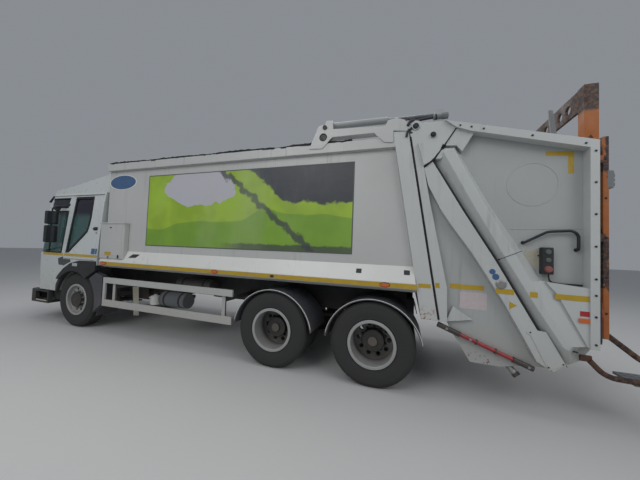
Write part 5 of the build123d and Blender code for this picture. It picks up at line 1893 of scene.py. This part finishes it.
    # Radius, bend and route of each hose by the hinge
    hoses: Sequence[tuple[float, float, Sequence[Point3]]] = (
        (0.016, 0.04, ((-1.845, 1.16, 3.245), (-1.825, 1.16, 3.305), (-1.900, 1.16, 3.322),
                       (-2.050, 1.16, 3.333))),
        (0.014, 0.04, ((-1.738, 1.215, 3.100), (-1.752, 1.215, 3.170), (-1.800, 1.215, 3.205))),
        (0.018, 0.03, ((-1.752, 1.215, 3.235), (-1.775, 1.215, 3.292), (-1.830, 1.19, 3.306))))

    def build(self) -> None:
        """Make both sides of the tailgate, its inside and the packer."""
        eased("tailgate_shell", Palette.tail, 0.005)
        self.housings()
        self.bolts()
        self.markings()
        self.controls()
        self.strut()
        self.seams()
        self.hopper()
        self.hinge_end()

    def housings(self) -> None:
        """Long raised housings over the packer rams and the strips beside them, with a black sheet
        of painted shade in the gap between each housing and its strip.
        """
        shape = Shape("ram_housings", Palette.tail, Palette.trim)
        shape.sloped(aft(self.housing_base), aft(self.housing_ridge), self.wall - 0.002,
                     self.ridge, 0.008)
        shape.slab(aft(self.strip_outline), self.wall - 0.002, self.strip, 0.010)
        for ledge in self.ledges:
            shape.slab(aft(ledge), self.wall + 0.02, self.strip + 0.016, 0.004)
        shape.slab(aft(self.facet), self.wall, self.ridge - 0.022, 0.006)
        fill = shape.slab(aft(self.valley), self.wall, self.ridge - 0.004)
        edge_x = AXLE_2 - 3.120
        rear = [v for v in fill if v.co.y > self.strip
                and v.co.x < edge_x + (v.co.z - 1.431) * 0.56]
        shape.shift(rear, lambda at: (0.0, self.panel - 0.018 - at.y, 0.0))
        # Painted shade: a thin black sheet in the crevice between the housing's front flank and the
        # strip
        flank = self.housing_base[1:6]
        gap_shade_sheet = [(x + 0.004, z + 0.002) for x, z in flank]
        gap_shade_sheet += [(x - 0.020, z - 0.011) for x, z in reversed(flank)]
        shape.slab(aft(gap_shade_sheet), self.wall, self.strip - 0.012, 0.0, 1)
        shape.slab(aft(self.foot_cover), self.strip - 0.002, self.strip + 0.006, 0.004)
        shape.mirrored().place("tailgate", "ram_covers")

    def bolts(self) -> None:
        """Bolt heads on the flange, the cover plate and the wall."""
        shape = Shape("tailgate_bolts", Palette.bolt)
        for places, foot, top, radius in (
                (self.flange_bolts, self.proud - 0.002, self.proud + 0.008, 0.011),
                (self.cover_bolts, self.strip + 0.003, self.strip + 0.012, 0.008),
                (self.wall_bolts, self.wall, self.wall + 0.008, 0.009)):
            for at in aft(places):
                shape.stud(at, foot, top, radius)
        shape.mirrored().place("tailgate")

    def mark(self, shape: Shape, outline: Outline, level: float, finish: int) -> None:
        """Add a thin blank marking on a face of the tailgate."""
        shape.slab(aft(outline), level - 0.001, level + 0.0018, 0.0, finish)

    def markings(self) -> None:
        """Stripes, blank stickers, lamps, grey cap, pressed ring and ledge."""
        shape = Shape("tailgate_markings", Palette.yellow, Palette.pink, Palette.blue,
                      Palette.tail, Palette.trim, Palette.red_lens, Palette.amber, Palette.tan,
                      Palette.zinc)
        for left, right, level in self.stripes:
            drop = (left + 2.1) * 0.022
            self.mark(shape, ((left, 1.285 + drop), (right, 1.285 + drop - 0.004),
                              (right, 1.340 + drop - 0.004), (left, 1.340 + drop)), level, 0)
        for outline, level, finish in self.marks:
            self.mark(shape, outline, level, finish)
        shape.slab(aft(self.side_lamp), self.panel, self.panel + 0.014, 0.005, 6)
        self.mark(shape, self.label, self.wall, 7)
        for at, level, section, steps, finish in (
                (self.cap, self.strip, self.cap_section, 28, 8),
                (self.pressed_ring, self.wall, self.ring_section, 64, 3)):
            x, z = spot(at)
            shape.spun(section, (x, level, z), steps, finish)
        shape.slab(aft(self.panel_ledge), self.wall - 0.002, self.wall + 0.004, 0.002, 3)
        # Painted shade: a black block stands for the dark inside of the slot
        shape.slab(aft(self.slot), self.ridge - 0.06, self.ridge - 0.03, 0.0, 4)
        shape.mirrored().place("tailgate")

    def controls(self) -> None:
        """Grab handle, control box with its buttons and cable."""
        shape = Shape("side_controls", Palette.bolt, Palette.trim, Palette.button, Palette.stop)
        wall, y = self.wall, self.wall + self.handle_out
        (front, front_z), (rear, rear_z) = self.handle_ends
        shape.tube(routed([(front, wall, front_z), (front, y, front_z), (-3.185, y, 1.955),
                           (-3.395, y, 1.967), (rear, y, 1.925), (rear, y, rear_z),
                           (rear, wall, rear_z)]), 0.014, 0.03)
        for at in aft(self.handle_ends):
            shape.stud(at, wall - 0.002, wall + 0.008, 0.019, 20)
        left, right = (AXLE_2 + x for x in self.box_ends)
        shape.box((left, wall - 0.002, 1.505), (right, wall + 0.070, 1.788), 0.010, 1)
        shape.box((left + 0.006, wall + 0.066, 1.512), (right - 0.006, wall + self.box_out, 1.782),
                  0.006, 1)
        for z, radius, height, finish in self.buttons:
            shape.spun([(0.0, height), (radius * 0.8, height), (radius, height * 0.7),
                        (radius * 0.72, 0.004), (radius * 1.15, 0.003), (radius * 1.15, -0.002),
                        (0.0, -0.002)], ((left + right) / 2, wall + self.box_out, z), 28, finish)
        shape.tube(routed([(a, wall + b, c) for a, b, c in self.cable]), 0.007, 0.04)
        shape.mirrored().place("tailgate", "side_fittings")

    def strut(self) -> None:
        """Red prop strut with dark ends, and the pipe stub."""
        shape = Shape("prop_struts", Palette.red_paint, Palette.dark_steel, Palette.zinc)
        y = self.wall + self.strut_out
        start, end = (Vector((x, y, z)) for x, z in aft(self.strut_ends))
        shape.rod(start.lerp(end, 0.20), start.lerp(end, 0.85), 0.022)
        shape.rod(start, start.lerp(end, 0.24), 0.030, finish=1)
        shape.rod(start.lerp(end, 0.80), end, 0.028, finish=1)
        for share in (0.24, 0.42, 0.62, 0.80):
            shape.rod(start.lerp(end, share), start.lerp(end, share + 0.012), 0.031, finish=1)
        for share in (0.10, 0.36, 0.95):
            at = start.lerp(end, share)
            shape.stud((at.x, at.z), self.wall - 0.03, y + 0.034, 0.014, 16, 2)
        stub, stub_mid, mouth, mouth_end = routed([
            (-2.875, 1.06, 0.475), (-2.930, 1.10, 0.405), (-2.925, 1.096, 0.412),
            (-2.945, 1.11, 0.388)])
        shape.rod(stub, stub_mid, 0.034, finish=2)
        shape.rod(mouth, mouth_end, 0.042, sides=8, finish=1)
        shape.mirrored().place("tailgate")

    def seams(self) -> None:
        """Black seals, arc lines and the seam with its dot on each housing."""
        shape = Shape("tailgate_seams", Palette.rubber)

        def seam(z: float, back: float) -> Point2:
            """Point of the leaning seam at a height, moved back by a distance."""
            return AXLE_2 - 1.845 + 0.083 + (z - 3.222) * 0.1648 - back, z

        shape.slab([seam(0.92, 0.0), seam(3.10, 0.0), seam(3.10, 0.016), seam(0.92, 0.016)],
                   self.strip - 0.05, self.strip + 0.004, 0.002)
        for line, width in self.arcs:
            back = [(x - width, z - width / 2) for x, z in reversed(line)]
            shape.slab(aft([*line, *back]), self.strip - 0.012, self.strip + 0.002, 0.0)
        shape.stud(spot(self.housing_dot), self.ridge - 0.004, self.ridge + 0.004, 0.010, 12)
        shape.slab(aft(self.housing_seam), self.ridge - 0.002, self.ridge + 0.0015, 0.0)
        shape.mirrored().place("tailgate")

    def hopper(self) -> None:
        """Scraped steel inside the hopper, the packer and the pushing panel."""
        shape = Shape("hopper_lining", Palette.steel)
        mouth = Vector((AXLE_2 - 2.95, 0.0, 1.32))

        def inside(at: Vector, normal: Vector) -> bool:
            """Whether a face of the tailgate looks into the trough or the mouth."""
            wall = abs(at.y) > 1.08 and abs(normal.y) > 0.9 and normal.y * at.y < 0
            trough = (abs(at.y) < 1.086 and abs(normal.y) < 0.1
                      and (mouth - at).dot(normal) > 0.3 and at.z < 1.30)
            return wall or trough

        shape.skin("tailgate_shell", inside, 0.003)
        shape.place("tailgate")
        eased("packer_carriage", Palette.steel, 0.006)
        eased("packer_blade", Palette.steel, 0.006)
        eased("ejector_panel", Palette.steel, 0.008)

    def hinge_end(self) -> None:
        """Hinge pins, hoses and the pipe over the hinge, and the lift rams."""
        shape = Shape("hinge_fittings", Palette.bolt, Palette.lamp_grey)
        for at, radius in self.pins:
            x, z = spot(at)
            shape.spun([(0.0, 0.012), (radius * 0.55, 0.012), (radius * 0.7, 0.004),
                        (radius, 0.006), (radius, -0.004), (0.0, -0.004)],
                       (x, self.strip + 0.015, z), 28)
        for radius, bend, route in self.hoses:
            shape.tube(routed(route), radius, bend)
        for start, end, radius, sides, finish in (
                ((-2.040, 1.16, 3.332), (-2.150, 1.15, 3.342), 0.032, 16, 1),
                ((-2.140, 1.15, 3.341), (-2.205, 1.14, 3.347), 0.040, 8, 1),
                ((-2.062, 1.16, 3.334), (-2.078, 1.158, 3.336), 0.037, 20, 0)):
            shape.rod(*routed([start, end]), radius, sides=sides, finish=finish)
        shape.mirrored().place("tailgate")
        eased("lift_barrels", Palette.ram, 0.004)
        eased("lift_rods", Palette.chrome, 0.004)


@dataclass
class RearLift:
    """Mast posts, bin lift and footboards at the back."""

    post_x: float = -3.635
    post_y: float = 1.132
    post_bolts: Sequence[float] = (1.15, 1.50, 1.90, 2.30, 2.70)
    lamp_ribs: Sequence[float] = (2.420, 2.465, 2.510)
    thin_post: Outline = ((-3.271, 3.360), (-3.312, 3.354), (-3.362, 2.960), (-3.312, 2.970))
    hoop_radius: float = 0.026
    tread_rows: int = 9
    tread_columns: int = 5
    # Foot and finish of each tail lamp
    tail_lamps: Sequence[tuple[float, int]] = ((0.875, 3), (0.975, 1), (1.075, 1), (1.175, 2))

    def build(self) -> None:
        """Make the rear equipment."""
        eased("mast_posts", Palette.mast, 0.003)
        eased("bin_lift", Palette.lift, 0.005)
        self.posts()
        self.hoops()
        self.lamps()

    def posts(self) -> None:
        """Bolts, lamp boxes and thin grey posts on the masts."""
        shape = Shape("mast_fittings", Palette.bolt, Palette.lamp_grey, Palette.red_lens)
        x = AXLE_2 + self.post_x
        for z in self.post_bolts:
            shape.stud((x - 0.0235, z), self.post_y + 0.036, self.post_y + 0.046, 0.010)
        shape.box((x - 0.088, 1.100, 2.400), (x - 0.030, 1.172, 2.581), 0.010, 1)
        for z in self.lamp_ribs:
            shape.box((x - 0.096, 1.106, z), (x - 0.084, 1.166, z + 0.034), 0.003, 1)
        shape.box((x - 0.092, 1.110, 2.548), (x - 0.084, 1.162, 2.570), 0.002, 2)
        shape.slab(aft(self.thin_post), 0.930, 0.965, 0.004, 1)
        shape.mirrored().place("tailgate")

    def hoops(self) -> None:
        """Footboards on bent tube hoops."""
        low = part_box("footboards")[0]
        x, y = AXLE_2 + self.post_x, self.post_y
        end = low.x + self.hoop_radius
        shape = Shape("footboard_hoops", Palette.hoop, Palette.lamp_grey)
        route = [(x - 0.030, 0.950), (x - 0.330, 0.700), (end, 0.640), (end, 0.500),
                 (x - 0.040, 0.520), (x + 0.090, 0.665)]
        shape.tube([(a, y, b) for a, b in route], self.hoop_radius, 0.09, sides=5)
        shape.box((x + 0.070, 1.118, 0.650), (x + 0.165, y + 0.010, 0.710))
        shape.box((low.x + 0.002, 0.832, 0.470), (x - 0.260, y, 0.498), 0.006, 1)
        for row in range(self.tread_rows):
            for column in range(self.tread_columns):
                a, b = low.x + 0.05 + row * 0.056, 0.87 + column * 0.055
                if a < x - 0.29:
                    shape.box((a, b, 0.497), (a + 0.030, b + 0.010, 0.502), 0.001, 1)
        shape.mirrored().place("tailgate", "footboards")

    def lamps(self) -> None:
        """Tail lamps beside the mouth."""
        shape = Shape("tail_lamps", Palette.trim, Palette.red_lens, Palette.amber,
                      Palette.clear_glass)
        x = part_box("tailgate_shell")[0].x
        shape.box((x - 0.012, 1.192, 0.86), (x + 0.002, 1.238, 1.28))
        for z, finish in self.tail_lamps:
            shape.box((x - 0.016, 1.196, z), (x - 0.008, 1.234, z + 0.088), 0.003, finish)
        shape.mirrored().place("tailgate")


@dataclass
class Studio:
    """Pale floor, soft lights and the camera at the photograph's angle."""

    camera_place: Point3 = (-2.4946, 4.522, 1.6758)
    camera_right: Point3 = (-0.948682, -0.313939, 0.038014)
    camera_up: Point3 = (0.024599, 0.046582, 0.998612)
    camera_back: Point3 = (-0.315274, 0.948300, -0.036469)
    lens: float = 14.625
    floor_reach: float = 60.0
    floor_tones: Sequence[Colour] = ((0.50, 0.50, 0.50), (0.54, 0.54, 0.535))
    sky: Colour = (0.74, 0.79, 0.86)
    sky_strength: float = 0.34
    aim: Point3 = (0.0, 0.0, 1.2)
    # Place, diameter and power of each lamp
    lamps: Sequence[tuple[Point3, float, float]] = (
        ((2.0, 9.0, 8.0), 7.0, 340.0), ((-9.0, 6.0, 7.0), 6.0, 200.0),
        ((0.0, -9.0, 8.0), 7.0, 240.0), ((0.0, 0.0, 12.0), 9.0, 430.0))

    def build(self) -> None:
        """Make the surroundings."""
        self.floor()
        self.lights()
        self.camera()

    def floor(self) -> None:
        """Plain pale floor."""
        mesh = bpy.data.meshes.new("floor")
        grid = bmesh.new()
        bmesh.ops.create_grid(grid, x_segments=2, y_segments=2, size=self.floor_reach)
        grid.to_mesh(mesh)
        grid.free()
        graph = Graph("floor_pale")
        mesh.materials.append(graph.done(graph.blend(graph.noise(2.5), *self.floor_tones), 0.8))
        floor = bpy.data.objects.new("floor", mesh)
        bpy.context.scene.collection.objects.link(floor)

    def lights(self) -> None:
        """Soft area lights and an even surround."""
        for index, (place, size, power) in enumerate(self.lamps):
            data = bpy.data.lights.new(f"soft_light_{index}", "AREA")
            data.shape = "DISK"
            data.size = size
            data.energy = power
            lamp = bpy.data.objects.new(data.name, data)
            lamp.location = place
            towards = Vector(self.aim) - Vector(place)
            lamp.rotation_euler = towards.to_track_quat("-Z", "Y").to_euler()
            bpy.context.scene.collection.objects.link(lamp)
        world = bpy.data.worlds.new("surround")
        world.use_nodes = True
        background = world.node_tree.nodes["Background"]
        background.inputs[0].default_value = (*self.sky, 1.0)
        background.inputs[1].default_value = self.sky_strength
        bpy.context.scene.world = world

    def camera(self) -> None:
        """Camera solved from the photograph."""
        data = bpy.data.cameras.new("camera")
        data.lens = self.lens
        data.sensor_width = 36.0
        data.sensor_fit = "HORIZONTAL"
        data.clip_end = 300.0
        camera = bpy.data.objects.new("camera", data)
        turn = Matrix((self.camera_right, self.camera_up, self.camera_back)).transposed()
        camera.matrix_world = Matrix.Translation(self.camera_place) @ turn.to_4x4()
        bpy.context.scene.collection.objects.link(camera)
        bpy.context.scene.camera = camera


def main() -> None:
    """Build every sub-assembly and the surroundings."""
    logging.basicConfig(level=logging.INFO, format="%(message)s")
    bpy.context.scene.view_settings.view_transform = "Standard"
    for assembly in (Wheels(), Cab(), BodyBox(), Chassis(), Tailgate(), RearLift(), Studio()):
        LOG.info("building %s", type(assembly).__name__)
        assembly.build()


if __name__ == "__main__":
    main()
